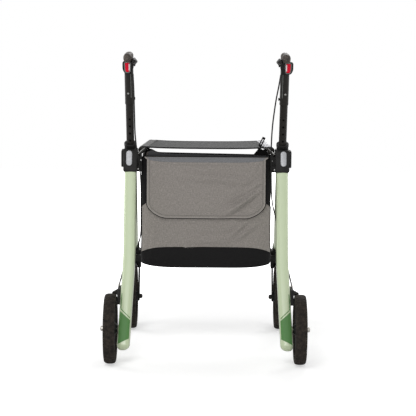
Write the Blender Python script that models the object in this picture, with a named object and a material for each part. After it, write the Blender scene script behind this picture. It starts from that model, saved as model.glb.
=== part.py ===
"""Side-folding carbon rollator, in metres.

+Z is up, +Y is forwards and +X is the right-hand side as the user sees it, who walks at -Y.
The origin is on the floor, midway between the wheels.
"""
import math

import bmesh
import bpy
from mathutils import Vector

# Clearances, softened edges, and how far a cutter stands out of what it cuts
GAP = 0.0003
SLIDE_GAP = 0.0004
FINE_EDGE = 0.0012
SOFT_EDGE = 0.0025
ROUND_EDGE = 0.0050
CUT_OVER = 0.010
CUT_FAR = 0.030
SIDES = {"left": -1, "right": 1}

# Driving dimensions: wheels, their places, and the heights of the seat rails and the handles
WHEEL_RADIUS = 0.100
WHEEL_BASE = 0.450
REAR_TRACK = 0.540
FRONT_TRACK = 0.461
RAIL_Z = 0.592
HOUSING_TOP_Z = 0.8570

# Wheels
REAR_AXLE_Y = -WHEEL_BASE / 2
FRONT_AXLE_Y = WHEEL_BASE / 2
TYRE_WIDTH = 0.033
TYRE_HEIGHT = 0.017
RIM_WIDTH = 0.020
RIM_WALL = 0.007
SPOKE_WIDTH = 0.011
HUB_RADIUS = 0.017
WHEEL_STEPS = 24
FACET = 1 / math.cos(math.pi / WHEEL_STEPS)
REAR_AXLE_RADIUS = 0.0055
REAR_HUB_WIDTH = 0.0364
REAR_CAP_LENGTH = 0.0105
REAR_CAP_RADIUS = 0.0075
AXLE_SEAT_DEPTH = 0.030
FRONT_AXLE_RADIUS = 0.004
FRONT_NUT_RADIUS = 0.0062
FRONT_NUT_LENGTH = 0.009

# Handles: the tube's axis passes the joint head's centre and leans back to the user
HANDLE_X = 0.220
HANDLE_LEAN = math.radians(22)
HEAD_Y = -0.058
HEAD_BELOW_RAIL = 0.017
HEAD_Z = RAIL_Z - HEAD_BELOW_RAIL
HOUSING_RISE = HOUSING_TOP_Z - HEAD_Z
HOUSING_Y = HEAD_Y - HOUSING_RISE * math.tan(HANDLE_LEAN)
HANDLE_TUBE_RADIUS = 0.0112
HANDLE_TUBE_WALL = 0.0016
HANDLE_TUBE_LOW = -0.075
HOLE_RADIUS = 0.0028
HOLE_PITCH = 0.023
HOLES_UP = 5
HOLES_DOWN = 2
STEM_WALL = 0.00115
STEM_RADIUS = HANDLE_TUBE_RADIUS + GAP + STEM_WALL
STEM_BELOW_TOP = 0.01014
STEM_LENGTH = 0.1236
STEM_TOP = HOUSING_RISE / math.cos(HANDLE_LEAN) - STEM_BELOW_TOP
STEM_LOW = STEM_TOP - STEM_LENGTH
STEM_ABOVE_TUBE = 0.032
HANDLE_TUBE_TOP = STEM_TOP - STEM_ABOVE_TUBE
KNOB_UP_STEM = 0.0166
KNOB_RADIUS = 0.0043
KNOB_LENGTH = 0.0036
SCREW_UP_STEM = 0.0376
SCREW_RADIUS = 0.0029
SCREW_HEIGHT = 0.0012

# Rear legs: their lean takes them from the rear axle to just behind the handle tube
REAR_LEG_X = 0.219
LEG_BEHIND_HANDLE = 0.02178
REAR_LEG_LEAN = math.atan2(HEAD_Y - LEG_BEHIND_HANDLE - REAR_AXLE_Y, HEAD_Z - WHEEL_RADIUS)
REAR_LEG_WIDTH = 0.035
REAR_LEG_FOOT_WIDTH = 0.037
REAR_LEG_DEPTH = 0.042
REAR_LEG_WALL = 0.003
REAR_LEG_SQUARENESS = 3.2
LEG_STEPS = 20
SPLAY = math.radians(3.3)
SPLAY_START_Z = 0.285
SPLAY_SOFTNESS = 0.035
SPLAY_RINGS = (-0.023, 0.0, 0.023)
FOOT_BELOW_AXLE = 0.059
FOOT_Z = WHEEL_RADIUS - FOOT_BELOW_AXLE
FOOT_ROUNDING = 0.016
LEG_SOLID_BELOW_SPLAY = 0.050
LEG_SOLID_Z = SPLAY_START_Z - LEG_SOLID_BELOW_SPLAY
LEG_SOCKET_DEPTH = 0.008
LEG_BOSS_RADIUS = 0.0085
AXLE_SPACER_RADIUS = 0.0095
LEG_BOSS_PROUD = 0.0013
LEG_BOSS_ROOT = 0.012

# Green panel on the foot of each rear leg, its corners by their height above the axle
PANEL_THICKNESS = 0.001
PANEL_OUTER_TOP = 0.047
PANEL_INNER_TOP = 0.026
PANEL_OUTER_LOW = -0.040
PANEL_INNER_LOW = -0.024
PANEL_COLUMNS = (7, 6, 5, 4, 3, 2, 1)

# Joint heads
HEAD_ABOVE = 0.023
HEAD_BELOW = 0.040
HEAD_TOP_Z = HEAD_Z + HEAD_ABOVE
HEAD_LOW_Z = HEAD_Z - HEAD_BELOW
HEAD_WALL = 0.0032
HEAD_INNER_X = 0.1990
HEAD_OUTER_X = 0.2388
HEAD_BLOCK_PROUD = 0.0050
HEAD_BLOCK_ROOT = 0.004
HEAD_BLOCK_HALF_DEPTH = 0.026
HEAD_BLOCK_ABOVE = 0.020
HEAD_BLOCK_BELOW = 0.029
COLLAR_RADIUS = 0.0180
COLLAR_TOP = 0.0440
BUTTON_X = 0.2220
BUTTON_BELOW_HEAD = 0.0012
BUTTON_Z = HEAD_Z - BUTTON_BELOW_HEAD
BUTTON_WIDTH = 0.017
BUTTON_HEIGHT = 0.045
BUTTON_PROUD = 0.0030
BUTTON_DEPTH = 0.0050
BUTTON_TRAVEL = 0.0030
BUTTON_POCKET = BUTTON_DEPTH + BUTTON_TRAVEL + 0.0005

# Front legs: in line with the handle tube, then bent forwards to the caster
FRONT_LEG_RADIUS = 0.0175
FRONT_LEG_TOP = -0.021
FRONT_LEG_STRAIGHT = 0.170
FRONT_LEG_BEND = 0.032
FRONT_LEG_X = 0.228
FRONT_JOIN_DROP = 0.009

# Casters
CASTER_TRAIL = 0.032
SWIVEL_Y = FRONT_AXLE_Y + CASTER_TRAIL
CROWN_CLEARANCE = 0.0035
CROWN_THICKNESS = 0.010
CROWN_HALF_DEPTH = 0.020
CROWN_LOW_Z = 2 * WHEEL_RADIUS + CROWN_CLEARANCE
CROWN_TOP_Z = CROWN_LOW_Z + CROWN_THICKNESS
HEAD_RUNNING_GAP = 0.0005
CASTER_HEAD_HEIGHT = 0.042
CASTER_HEAD_LOW_Z = CROWN_TOP_Z + HEAD_RUNNING_GAP
CASTER_HEAD_TOP_Z = CASTER_HEAD_LOW_Z + CASTER_HEAD_HEIGHT
CASTER_HEAD_INNER = 0.0300
CASTER_HEAD_OUTER = 0.0220
CASTER_HEAD_BACK = 0.035
CASTER_HEAD_FRONT = 0.020
CASTER_ARM_X = 0.1688
CASTER_ARM_HALF_DEPTH = 0.011
CASTER_ARM_FRONT = 0.012
CASTER_ARM_LIFT = 0.001
CASTER_ARM_HEIGHT = 0.019
CASTER_SOCKET_REACH = 0.020
FORK_PLAY = 0.0035
FORK_ARM = 0.0045
FORK_INNER = TYRE_WIDTH / 2 + FORK_PLAY
FORK_OUTER = FORK_INNER + FORK_ARM
FORK_EAR_RADIUS = 0.0145
FORK_SHOULDER = 0.0035
FORK_SHOULDER_DROP = 0.0165
FORK_SHOULDER_HALF_DEPTH = 0.016
STEM_PIN_RADIUS = 0.006
STEM_PIN_LENGTH = 0.036
STEM_PIN_END_GAP = 0.002

# Cross brace: a scissor in the plane through both pairs of pivots
BRACE_HALF = 0.180
BRACE_BEHIND_SWIVEL = 0.044
BRACE_LOW_RISE = 0.019
BRACE_LOW_Y = SWIVEL_Y - BRACE_BEHIND_SWIVEL
BRACE_LOW_Z = CASTER_HEAD_LOW_Z + BRACE_LOW_RISE
BRACE_TOP_Y = 0.035
BRACE_BELOW_RAIL = 0.024
BRACE_TOP_Z = RAIL_Z - BRACE_BELOW_RAIL
BAR_WIDTH = 0.018
BAR_THICKNESS = 0.012
BAR_SPACING = 0.003
BRACE_PIN_RADIUS = 0.004
BRACE_BOLT_HEAD = 0.003
BAR_SWING_ROOM = 0.003
LUG_THICKNESS = 0.0115
LUG_TRIM = 0.002
LOW_LUG_HALF_WIDTH = 0.012
LOW_LUG_HALF_HEIGHT = 0.010
TOP_LUG_HALF_WIDTH = 0.009
TOP_LUG_SHOULDER = 0.006
TOP_LUG_NECK_START = 0.012
TOP_LUG_NECK = 0.008

# Seat
RAIL_RADIUS = 0.0075
RAIL_CAP_RADIUS = 0.0098
RAIL_CAP_LENGTH = 0.004
RAIL_CAP_GAP = 0.0017
RAIL_BACK_X = 0.1880
RAIL_BACK_Y = -0.050
RAIL_FRONT_X = 0.1672
RAIL_FRONT_Y = 0.126
TIP_RADIUS = 0.004
TIP_X = 0.1930
TIP_Y = -0.084
TIP_DROP = 0.0035
TIP_Z = RAIL_Z - TIP_DROP
CRADLE_INNER_X = 0.184
CRADLE_BACK_Y = -0.083
CRADLE_FRONT_Y = -0.0608
CRADLE_HEIGHT = 0.0405
CRADLE_ROOT = 0.003
SEAT_CLOTH = 0.0022
SEAT_BACK_Y = -0.048
SEAT_FRONT_Y = 0.124
SEAT_SAG = 0.004
SEAT_SLOPE_WIDTHS = (0.035, 0.100)
SEAT_EARLY_SAG = 0.4
HEM_STEP = math.radians(25)
HEM_COUNT = 5
TAB_X = 0.1545
TAB_Y = -0.038
TAB_LEAN = math.radians(26)
TAB_WIDTH = 0.009
TAB_THICKNESS = 0.003
TAB_HEIGHT = 0.031
TAB_SLOT_WIDTH = 0.0045
TAB_SLOT_HEIGHT = 0.017

# Bag
BAG_HALF_WIDTH = 0.1895
BAG_LOW_HALF_WIDTH = 0.1840
BAG_BACK_Y = -0.070
BAG_TOP_FRONT_Y = 0.012
BAG_LOW_FRONT_Y = 0.060
BAG_BELOW_RAIL = 0.0185
BAG_TOP_Z = RAIL_Z - BAG_BELOW_RAIL
BAG_TOP_RISE = 0.0060
BAG_LOW_Z = 0.246
BAG_SEAM_Z = 0.307
BAG_SQUARENESS = 7.0
BAG_EDGE = 0.010
BAG_EDGE_INSET = 0.006
FLAP_TOP_DROP = 0.004
FLAP_HALF_WIDTH = 0.174
FLAP_THICKNESS = 0.003
FLAP_LOW_Z = 0.399
FLAP_CORNER_WIDTH = 0.050
FLAP_CORNER_HEIGHT = 0.034

# Brake housings, grips and levers
HOUSING_INNER = 0.0142
HOUSING_OUTER = 0.0178
HOUSING_CORNER = 0.0095
HOUSING_HEIGHT = 0.0355
HOUSING_LOW_Z = HOUSING_TOP_Z - HOUSING_HEIGHT
HOUSING_BACK = 0.0205
HOUSING_FRONT = 0.0200
HOUSING_TOP_FRONT = 0.0280
HOUSING_CHAMFER = 0.006
HOUSING_BACK_CHAMFER = 0.008
REFLECTOR_WIDTH = 0.0155
REFLECTOR_HEIGHT = 0.0275
REFLECTOR_DEPTH = 0.0030
REFLECTOR_SHIFT = 0.0057
REFLECTOR_LIFT = 0.001
GRIP_FORWARD = 0.04194
GRIP_LENGTH = 0.120
GRIP_FRONT_Y = HOUSING_Y + GRIP_FORWARD
GRIP_HALF_WIDTH = 0.0121
GRIP_HALF_HEIGHT = 0.0124
LEVER_FORWARD = 0.01994
LEVER_DROP = 0.012
LEVER_Y = HOUSING_Y + LEVER_FORWARD
LEVER_Z = HOUSING_TOP_Z - LEVER_DROP
LEVER_OUTER_X = 0.2052
LEVER_KNUCKLE_RADIUS = 0.0068
LEVER_KNUCKLE_INNER_X = 0.2003
LEVER_PIN_RADIUS = 0.0030
LEVER_PIN_ROOT = 0.003
LEVER_PIN_END = 0.0006
# The lever's sections: distance behind the hinge, then the outer face's and the thin edge's
# distances from the middle, and the heights above the hinge of the thin edge, the top and the
# underside; behind the housing the outer face comes close to the grip
LEVER_STATIONS = (
    (0.001, 0.2052, 0.2003, 0.0020, 0.0050, -0.0040), (0.018, 0.2052, 0.1950, 0.0100, 0.0180, 0.0000),
    (0.041, 0.2052, 0.1932, 0.0128, 0.0230, 0.0023), (0.049, 0.2072, 0.1931, 0.0136, 0.0240, 0.0035),
    (0.070, 0.2072, 0.1940, 0.0145, 0.0240, 0.0070), (0.086, 0.2072, 0.1960, 0.0160, 0.0225, 0.0100),
    (0.091, 0.2065, 0.1990, 0.0160, 0.0190, 0.0130),
)

# Brakes
BRAKE_GAP = 0.0035
SHOE_ANGLE = math.radians(30)
SHOE_THICKNESS = 0.007
SHOE_LENGTH = 0.022
SHOE_WIDTH = 0.0155
BRAKE_PIVOT_FORWARD = 0.083
BRAKE_PIVOT_RISE = 0.090
BRAKE_PIVOT_Y = REAR_AXLE_Y + BRAKE_PIVOT_FORWARD
BRAKE_PIVOT_Z = WHEEL_RADIUS + BRAKE_PIVOT_RISE
BRAKE_ARM_THICKNESS = 0.0045
BRAKE_BOSS_RADIUS = 0.008
BRAKE_PIN_RADIUS = 0.0035
BRACKET_BACK_FORWARD = 0.011
BRACKET_BACK_Y = REAR_AXLE_Y + BRACKET_BACK_FORWARD
BRACKET_BELOW_PIVOT = 0.024
BRACKET_ABOVE_PIVOT = 0.018
BRACKET_LOW_Z = BRAKE_PIVOT_Z - BRACKET_BELOW_PIVOT
BRACKET_TOP_Z = BRAKE_PIVOT_Z + BRACKET_ABOVE_PIVOT
BRACKET_OUTER_X = 0.2520
BRACKET_ROOT = 0.003
BRACKET_INSET = 0.004
BRAKE_PIN_ROOT = 0.004
CABLE_RADIUS = 0.002
CABLE_SPACING = 0.0115

# The brake cables' routes, from the housing down to the bracket, as (distance from the
# middle, y, z)
RIGHT_CABLE_ROUTE = (
    (0.2080, -0.1700, 0.8209), (0.2055, -0.1735, 0.8060), (0.2015, -0.1750, 0.7830),
    (0.1950, -0.1720, 0.7460), (0.1880, -0.1640, 0.6880), (0.1856, -0.1480, 0.6450),
    (0.1856, -0.1250, 0.6060), (0.1868, -0.1100, 0.5600), (0.1880, -0.1010, 0.5050),
    (0.1900, -0.0960, 0.4600), (0.1965, -0.0940, 0.4220), (0.2070, -0.0970, 0.3850),
    (0.2190, -0.1060, 0.3450), (0.2290, -0.1200, 0.3020), (0.2375, -0.1340, 0.2600),
    (0.2440, -0.1430, 0.2320), (0.2480, -0.1480, 0.2150), (0.2490, -0.1480, 0.2087),
)
LEFT_CABLE_ROUTE = (
    (0.2080, -0.1700, 0.8209), (0.2072, -0.1730, 0.8060), (0.2060, -0.1710, 0.7830),
    (0.2052, -0.1640, 0.7460), (0.2044, -0.1520, 0.6930), (0.2036, -0.1390, 0.6500),
    (0.2000, -0.1250, 0.6050), (0.1930, -0.1120, 0.5600), (0.1888, -0.1000, 0.5050),
    (0.1884, -0.0920, 0.4500), (0.1884, -0.0880, 0.4000), (0.1892, -0.0880, 0.3550),
    (0.1950, -0.0920, 0.3240), (0.2080, -0.1040, 0.3000), (0.2250, -0.1210, 0.2780),
    (0.2375, -0.1340, 0.2530), (0.2440, -0.1425, 0.2290), (0.2480, -0.1480, 0.2150),
    (0.2490, -0.1480, 0.2087),
)

# Colours (linear), roughness and metallic value of each finish
FINISHES = {
    "pale_green": ((0.50, 0.62, 0.42), 0.35, 0.0),
    "dark_green": ((0.09, 0.23, 0.08), 0.45, 0.0),
    "black_plastic": ((0.012, 0.012, 0.012), 0.50, 0.0),
    "black_metal": ((0.020, 0.020, 0.019), 0.40, 0.6),
    "tyre_rubber": ((0.016, 0.014, 0.013), 0.80, 0.0),
    "grip_rubber": ((0.045, 0.040, 0.037), 0.75, 0.0),
    "silver": ((0.78, 0.78, 0.78), 0.25, 1.0),
    "white_silver": ((0.80, 0.81, 0.83), 0.35, 0.3),
    "steel": ((0.45, 0.44, 0.42), 0.35, 1.0),
    "red_lens": ((0.75, 0.0, 0.02), 0.15, 0.0),
    "grey_fabric": ((0.29, 0.27, 0.25), 0.90, 0.0),
    "black_fabric": ((0.012, 0.012, 0.014), 0.90, 0.0),
    "seat_mesh": ((0.15, 0.15, 0.15), 0.80, 0.0),
}

X_AXIS = Vector((1, 0, 0))
Z_AXIS = Vector((0, 0, 1))


# Scene objects

def clear_scene():
    """Remove whatever the scene holds."""
    for obj in list(bpy.data.objects):
        bpy.data.objects.remove(obj)


def finish_material(part_name, finish):
    """The part's own material, in one of the named finishes."""
    colour, roughness, metallic = FINISHES[finish]
    material = bpy.data.materials.new(part_name + "_" + finish)
    material.use_nodes = True
    shader = material.node_tree.nodes["Principled BSDF"]
    shader.inputs["Base Color"].default_value = (*colour, 1)
    shader.inputs["Roughness"].default_value = roughness
    shader.inputs["Metallic"].default_value = metallic
    material.diffuse_color = (*colour, 1)
    return material


def add_pivot(name, place):
    """An empty on a joint's axis, which carries the pieces that move with it."""
    pivot = bpy.data.objects.new(name, None)
    pivot.location = place
    pivot.empty_display_size = 0.02
    bpy.context.scene.collection.objects.link(pivot)
    return pivot


def add_part(name, solid, finish, pivot=None, smooth=35):
    """Turn a bmesh in world coordinates into a named object, carried by its pivot."""
    origin = Vector(pivot.location) if pivot else Vector((0, 0, 0))
    bmesh.ops.remove_doubles(solid, verts=solid.verts, dist=0.00001)
    bmesh.ops.recalc_face_normals(solid, faces=solid.faces)
    bmesh.ops.translate(solid, verts=solid.verts, vec=-origin)
    mesh = bpy.data.meshes.new(name)
    solid.to_mesh(mesh)
    solid.free()
    mesh.shade_smooth()
    mesh.set_sharp_from_angle(angle=math.radians(smooth))
    mesh.materials.append(finish_material(name, finish))
    obj = bpy.data.objects.new(name, mesh)
    bpy.context.scene.collection.objects.link(obj)
    if pivot:
        obj.parent = pivot
    return obj


# Mesh tools

def combine(first, second, operation):
    """Boolean of two closed solids; both are used up and a new one comes back."""
    tools = []
    for solid in (first, second):
        bmesh.ops.recalc_face_normals(solid, faces=solid.faces)
        mesh = bpy.data.meshes.new("tool")
        solid.to_mesh(mesh)
        solid.free()
        tool = bpy.data.objects.new("tool", mesh)
        bpy.context.scene.collection.objects.link(tool)
        tools.append(tool)
    modifier = tools[0].modifiers.new("combine", "BOOLEAN")
    modifier.object = tools[1]
    modifier.operation = operation
    graph = bpy.context.evaluated_depsgraph_get()
    evaluated = tools[0].evaluated_get(graph)
    result = bmesh.new()
    result.from_mesh(evaluated.to_mesh())
    evaluated.to_mesh_clear()
    for tool in tools:
        mesh = tool.data
        bpy.data.objects.remove(tool)
        bpy.data.meshes.remove(mesh)
    return result


def join(*solids):
    """Union of two or more solids that meet."""
    result = solids[0]
    for solid in solids[1:]:
        result = combine(result, solid, "UNION")
    return result


def cut(solid, *cutters):
    """The solid with each cutter taken away."""
    result = solid
    for cutter in cutters:
        result = combine(result, cutter, "DIFFERENCE")
    return result


def loft(rings, closed_loop=False):
    """Skin rings of equal point counts; the ends are capped unless the rings form a loop."""
    solid = bmesh.new()
    rows = [[solid.verts.new(point) for point in ring] for ring in rings]
    pairs = list(zip(rows, rows[1:]))
    if closed_loop:
        pairs.append((rows[-1], rows[0]))
    count = len(rows[0])
    for lower, upper in pairs:
        for i in range(count):
            j = (i + 1) % count
            solid.faces.new((lower[i], lower[j], upper[j], upper[i]))
    if not closed_loop:
        solid.faces.new(rows[0])
        solid.faces.new(rows[-1])
    bmesh.ops.recalc_face_normals(solid, faces=solid.faces)
    return solid


def side_vectors(direction):
    """Two unit vectors across a direction, the first as near to +X or +Y as it can be."""
    along = direction.normalized()
    start = Vector((0, 1, 0)) if abs(along.x) > 0.9 else X_AXIS
    across = (start - along * start.dot(along)).normalized()
    return across, along.cross(across)


def circle_ring(centre, direction, radius, steps, turn=0.0):
    """Points of a circle about a centre, square to a direction; turn is in steps."""
    across, up = side_vectors(direction)
    angles = [2 * math.pi * (i + turn) / steps for i in range(steps)]
    return [centre + across * (radius * math.cos(a)) + up * (radius * math.sin(a)) for a in angles]


def lathe(profile, centre, direction, steps, hollow=False, turn=0.0):
    """Turn a profile of (radius, distance along the axis); hollow profiles form a loop."""
    along = direction.normalized()
    rings = [circle_ring(centre + along * d, along, r, steps, turn) for r, d in profile]
    return loft(rings, closed_loop=hollow)


def cylinder(start, end, radius, steps=16):
    """A round bar between two points."""
    direction = end - start
    return lathe([(radius, 0), (radius, direction.length)], start, direction, steps)


def soft_square(width, depth, squareness, steps):
    """A superellipse as (u, v) pairs: a circle at squareness 2, near a rectangle above 4."""
    points = []
    for i in range(steps):
        angle = 2 * math.pi * i / steps
        c = math.cos(angle)
        s = math.sin(angle)
        u = math.copysign(abs(c) ** (2 / squareness), c) * width / 2
        v = math.copysign(abs(s) ** (2 / squareness), s) * depth / 2
        points.append((u, v))
    return points


def placed(points, centre, across, up):
    """Flat (u, v) points put on the plane through a centre."""
    return [centre + across * u + up * v for u, v in points]


def prism(outline, centre, across, up, low, high):
    """An outline of (u, v) pairs drawn out square to its plane, from low to high."""
    along = across.cross(up).normalized()
    rings = [placed(outline, centre + along * d, across, up) for d in (low, high)]
    return loft(rings)


def side_prism(outline_yz, x_low, x_high):
    """A side view outline of (y, z) pairs drawn out between two values of x."""
    return prism(outline_yz, Vector((0, 0, 0)), Vector((0, 1, 0)), Z_AXIS, x_low, x_high)


def box(x_pair, y_pair, z_pair):
    """A block between two values of each coordinate, given in any order."""
    y_low, y_high = sorted(y_pair)
    z_low, z_high = sorted(z_pair)
    outline = [(y_low, z_low), (y_high, z_low), (y_high, z_high), (y_low, z_high)]
    return side_prism(outline, min(x_pair), max(x_pair))


def soften(solid, width, segments=1, angle=40):
    """Bevel the edges that are sharper than an angle."""
    solid.normal_update()
    limit = math.radians(angle)
    edges = [e for e in solid.edges if e.is_manifold and e.calc_face_angle() > limit]
    bmesh.ops.bevel(solid, geom=edges, offset=width, segments=segments, affect="EDGES",
                    clamp_overlap=True)
    return solid


def stadium(length, width, arc_steps):
    """A slot outline as (u, v) pairs, with its long side along v."""
    radius = width / 2
    reach = length / 2 - radius
    points = []
    for end in (1, -1):
        for i in range(arc_steps + 1):
            angle = math.pi * i / arc_steps
            points.append((radius * math.cos(angle) * end, (reach + radius * math.sin(angle)) * end))
    return points


def smooth_route(route, side, spacing):
    """Evenly spaced points on a Catmull-Rom curve through a route's points."""
    knots = [Vector((side * x, y, z)) for x, y, z in route]
    padded = [knots[0] * 2 - knots[1], *knots, knots[-1] * 2 - knots[-2]]
    fine = []
    for a, b, c, d in zip(padded, padded[1:], padded[2:], padded[3:]):
        for i in range(20):
            t = i / 20
            fine.append(0.5 * (b * 2 + (c - a) * t + (a * 2 - b * 5 + c * 4 - d) * t**2
                               + (b * 3 - a - c * 3 + d) * t**3))
    fine.append(knots[-1])
    total = sum((q - p).length for p, q in zip(fine, fine[1:]))
    count = round(total / spacing)
    points = [fine[0]]
    walked = 0.0
    for p, q in zip(fine, fine[1:]):
        step = (q - p).length
        while len(points) < count and walked + step >= len(points) * total / count:
            share = (len(points) * total / count - walked) / step
            points.append(p.lerp(q, share))
        walked += step
    points.append(fine[-1])
    return points


# Places that several pieces share

def handle_point(side, along):
    """A point on the handle tube's axis, at a distance up from the joint head's centre."""
    y = HEAD_Y - along * math.sin(HANDLE_LEAN)
    z = HEAD_Z + along * math.cos(HANDLE_LEAN)
    return Vector((side * HANDLE_X, y, z))


def handle_y(z):
    """The handle axis' y at a height."""
    return HEAD_Y - (z - HEAD_Z) * math.tan(HANDLE_LEAN)


def handle_direction():
    """Up along the handle tube."""
    return Vector((0, -math.sin(HANDLE_LEAN), math.cos(HANDLE_LEAN)))


def handle_back():
    """Square to the handle tube, to the rear."""
    return X_AXIS.cross(handle_direction())


def rear_leg_y(z):
    """The rear leg axis' y at a height."""
    return REAR_AXLE_Y + (z - WHEEL_RADIUS) * math.tan(REAR_LEG_LEAN)


def rear_leg_centre(side, z):
    """The rear leg's middle at a height: upright above the bend, splayed below it."""
    drop = SPLAY_START_Z - z
    if drop > SPLAY_SOFTNESS:
        reach = drop
    elif drop < -SPLAY_SOFTNESS:
        reach = 0.0
    else:
        reach = (drop + SPLAY_SOFTNESS) ** 2 / (4 * SPLAY_SOFTNESS)
    return Vector((side * (REAR_LEG_X + reach * math.tan(SPLAY)), rear_leg_y(z), z))


def rear_leg_width(z):
    """The rear leg's width, which grows a little below the bend."""
    share = min(max((SPLAY_START_Z - z) / (SPLAY_START_Z - FOOT_Z), 0.0), 1.0)
    return REAR_LEG_WIDTH + share * (REAR_LEG_FOOT_WIDTH - REAR_LEG_WIDTH)


def rear_leg_ring(side, z, grow=0.0, scale=1.0, steps=LEG_STEPS):
    """The rear leg's section at a height, grown or scaled, with u to the outside."""
    centre = rear_leg_centre(side, z)
    along = (rear_leg_centre(side, z + 0.001) - rear_leg_centre(side, z - 0.001)).normalized()
    outside = (X_AXIS - along * along.x).normalized() * side
    back = outside.cross(along) * side
    width = (rear_leg_width(z) + 2 * grow) * scale
    depth = (REAR_LEG_DEPTH + 2 * grow) * scale
    return placed(soft_square(width, depth, REAR_LEG_SQUARENESS, steps), centre, outside, back)


def rear_leg_block(side, grow, low, high):
    """A solid copy of a stretch of the rear leg, grown by a clearance."""
    heights = [low + (high - low) * i / 4 for i in range(5)]
    return loft([rear_leg_ring(side, z, grow) for z in heights])


def front_leg_points(side):
    """The front leg's middle line: straight below the head, one bend, straight to the caster."""
    corner = handle_point(side, -(FRONT_LEG_STRAIGHT + FRONT_LEG_BEND))
    target = Vector((side * FRONT_LEG_X, SWIVEL_Y, CASTER_HEAD_TOP_Z - FRONT_JOIN_DROP))
    onward = (target - corner).normalized()
    end = target - onward * CASTER_HEAD_FRONT
    start = corner + handle_direction() * FRONT_LEG_BEND
    finish = corner + onward * FRONT_LEG_BEND
    arc = []
    for i in range(1, 5):
        t = i / 5
        arc.append(start * (1 - t) ** 2 + corner * 2 * t * (1 - t) + finish * t**2)
    return [handle_point(side, FRONT_LEG_TOP), start, *arc, finish, end]


def swept_circles(points, radius, steps):
    """Circles along a line of points, each square to the line there."""
    rings = []
    for i, point in enumerate(points):
        before = points[max(i - 1, 0)]
        after = points[min(i + 1, len(points) - 1)]
        rings.append(circle_ring(point, after - before, radius, steps))
    return rings


def brace_axes():
    """The scissor plane's up direction and its normal, which the brace pivots turn about."""
    rise = Vector((0, BRACE_TOP_Y - BRACE_LOW_Y, BRACE_TOP_Z - BRACE_LOW_Z)).normalized()
    return rise, X_AXIS.cross(rise)


def brace_section(points, centre, distances):
    """A solid with its outline in the scissor plane, between two distances along the normal."""
    rise, _ = brace_axes()
    return prism(points, centre, X_AXIS, rise, *distances)


def brace_point(x, share):
    """A point of the scissor plane, at a share of the way from the low to the top pivots."""
    y = BRACE_LOW_Y + share * (BRACE_TOP_Y - BRACE_LOW_Y)
    z = BRACE_LOW_Z + share * (BRACE_TOP_Z - BRACE_LOW_Z)
    return Vector((x, y, z))


def layer_range(layer, thickness, start):
    """Distances along the scissor's normal: layer is +1 or -1 away from the middle."""
    return sorted((layer * start, layer * (start + thickness)))


def rail_centre(side, y):
    """The seat rail's middle line at a value of y."""
    share = (y - RAIL_BACK_Y) / (RAIL_FRONT_Y - RAIL_BACK_Y)
    return Vector((side * (RAIL_BACK_X + share * (RAIL_FRONT_X - RAIL_BACK_X)), y, RAIL_Z))


# Wheels

def tyre_solid(centre):
    """A round-shouldered tyre about the X axis, which stands on the middle of a facet."""
    half = TYRE_WIDTH / 2
    inner = WHEEL_RADIUS - TYRE_HEIGHT
    profile = [
        (inner, -half * 0.7), (inner + TYRE_HEIGHT * 0.45, -half), (inner + TYRE_HEIGHT * 0.86, -half * 0.78),
        (WHEEL_RADIUS, -half * 0.36), (WHEEL_RADIUS, half * 0.36),
        (inner + TYRE_HEIGHT * 0.86, half * 0.78), (inner + TYRE_HEIGHT * 0.45, half), (inner, half * 0.7),
    ]
    grown = [(radius * FACET, d) for radius, d in profile]
    return lathe(grown, centre, X_AXIS, WHEEL_STEPS, hollow=True, turn=0.5)


def rim_solid(centre, hub_width, bore):
    """Hub, six spokes and a ring, as one plate with windows: radii and half widths by ring."""
    outer = (WHEEL_RADIUS - TYRE_HEIGHT - GAP) * FACET
    radii = [bore, HUB_RADIUS, outer - RIM_WALL, outer]
    half_widths = [hub_width / 2, hub_width / 2, RIM_WIDTH / 2, RIM_WIDTH / 2]
    spoke_half = SPOKE_WIDTH / 2
    solid = bmesh.new()
    faces_by_side = []
    for facing in (-1, 1):
        rows = []
        for radius, half in zip(radii, half_widths):
            row = []
            for i in range(WHEEL_STEPS):
                angle = 2 * math.pi * (i + 0.5) / WHEEL_STEPS
                point = Vector((facing * half, radius * math.cos(angle), radius * math.sin(angle)))
                row.append(solid.verts.new(centre + point))
            rows.append(row)
        faces_by_side.append(rows)
    cells = rim_cells()
    for rows in faces_by_side:
        for ring, i in sorted(cells):
            j = (i + 1) % WHEEL_STEPS
            solid.faces.new((rows[ring][i], rows[ring][j], rows[ring + 1][j], rows[ring + 1][i]))
    near, far = faces_by_side
    for (ring_a, i_a), (ring_b, i_b) in rim_walls(cells):
        solid.faces.new((near[ring_a][i_a], near[ring_b][i_b], far[ring_b][i_b], far[ring_a][i_a]))
    narrow_spokes(solid, faces_by_side, radii, centre, spoke_half)
    return solid


def rim_cells():
    """The filled cells (ring, step) of the rim: whole hub and ring, and one step in four between."""
    cells = {(ring, i) for ring in (0, 2) for i in range(WHEEL_STEPS)}
    cells |= {(1, i) for i in range(0, WHEEL_STEPS, 4)}
    return cells


def rim_walls(cells):
    """Edges with a filled cell on one side only, as pairs of (row, step) corners."""
    counts = {}
    for ring, i in cells:
        j = (i + 1) % WHEEL_STEPS
        corners = [(ring, i), (ring, j), (ring + 1, j), (ring + 1, i)]
        for a, b in zip(corners, corners[1:] + corners[:1]):
            key = (min(a, b), max(a, b))
            counts[key] = counts.get(key, 0) + 1
    return sorted(key for key, count in counts.items() if count == 1)


def narrow_spokes(solid, faces_by_side, radii, centre, spoke_half):
    """Bring both edges of each spoke to the spoke's own width."""
    for rows in faces_by_side:
        for i in range(0, WHEEL_STEPS, 4):
            middle = 2 * math.pi * (i + 1) / WHEEL_STEPS
            for ring in (1, 2):
                for step, sign in ((i, -1), (i + 1, 1)):
                    vert = rows[ring][step % WHEEL_STEPS]
                    turn = middle + sign * math.asin(spoke_half / radii[ring])
                    vert.co.y = centre.y + radii[ring] * math.cos(turn)
                    vert.co.z = centre.z + radii[ring] * math.sin(turn)


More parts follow.
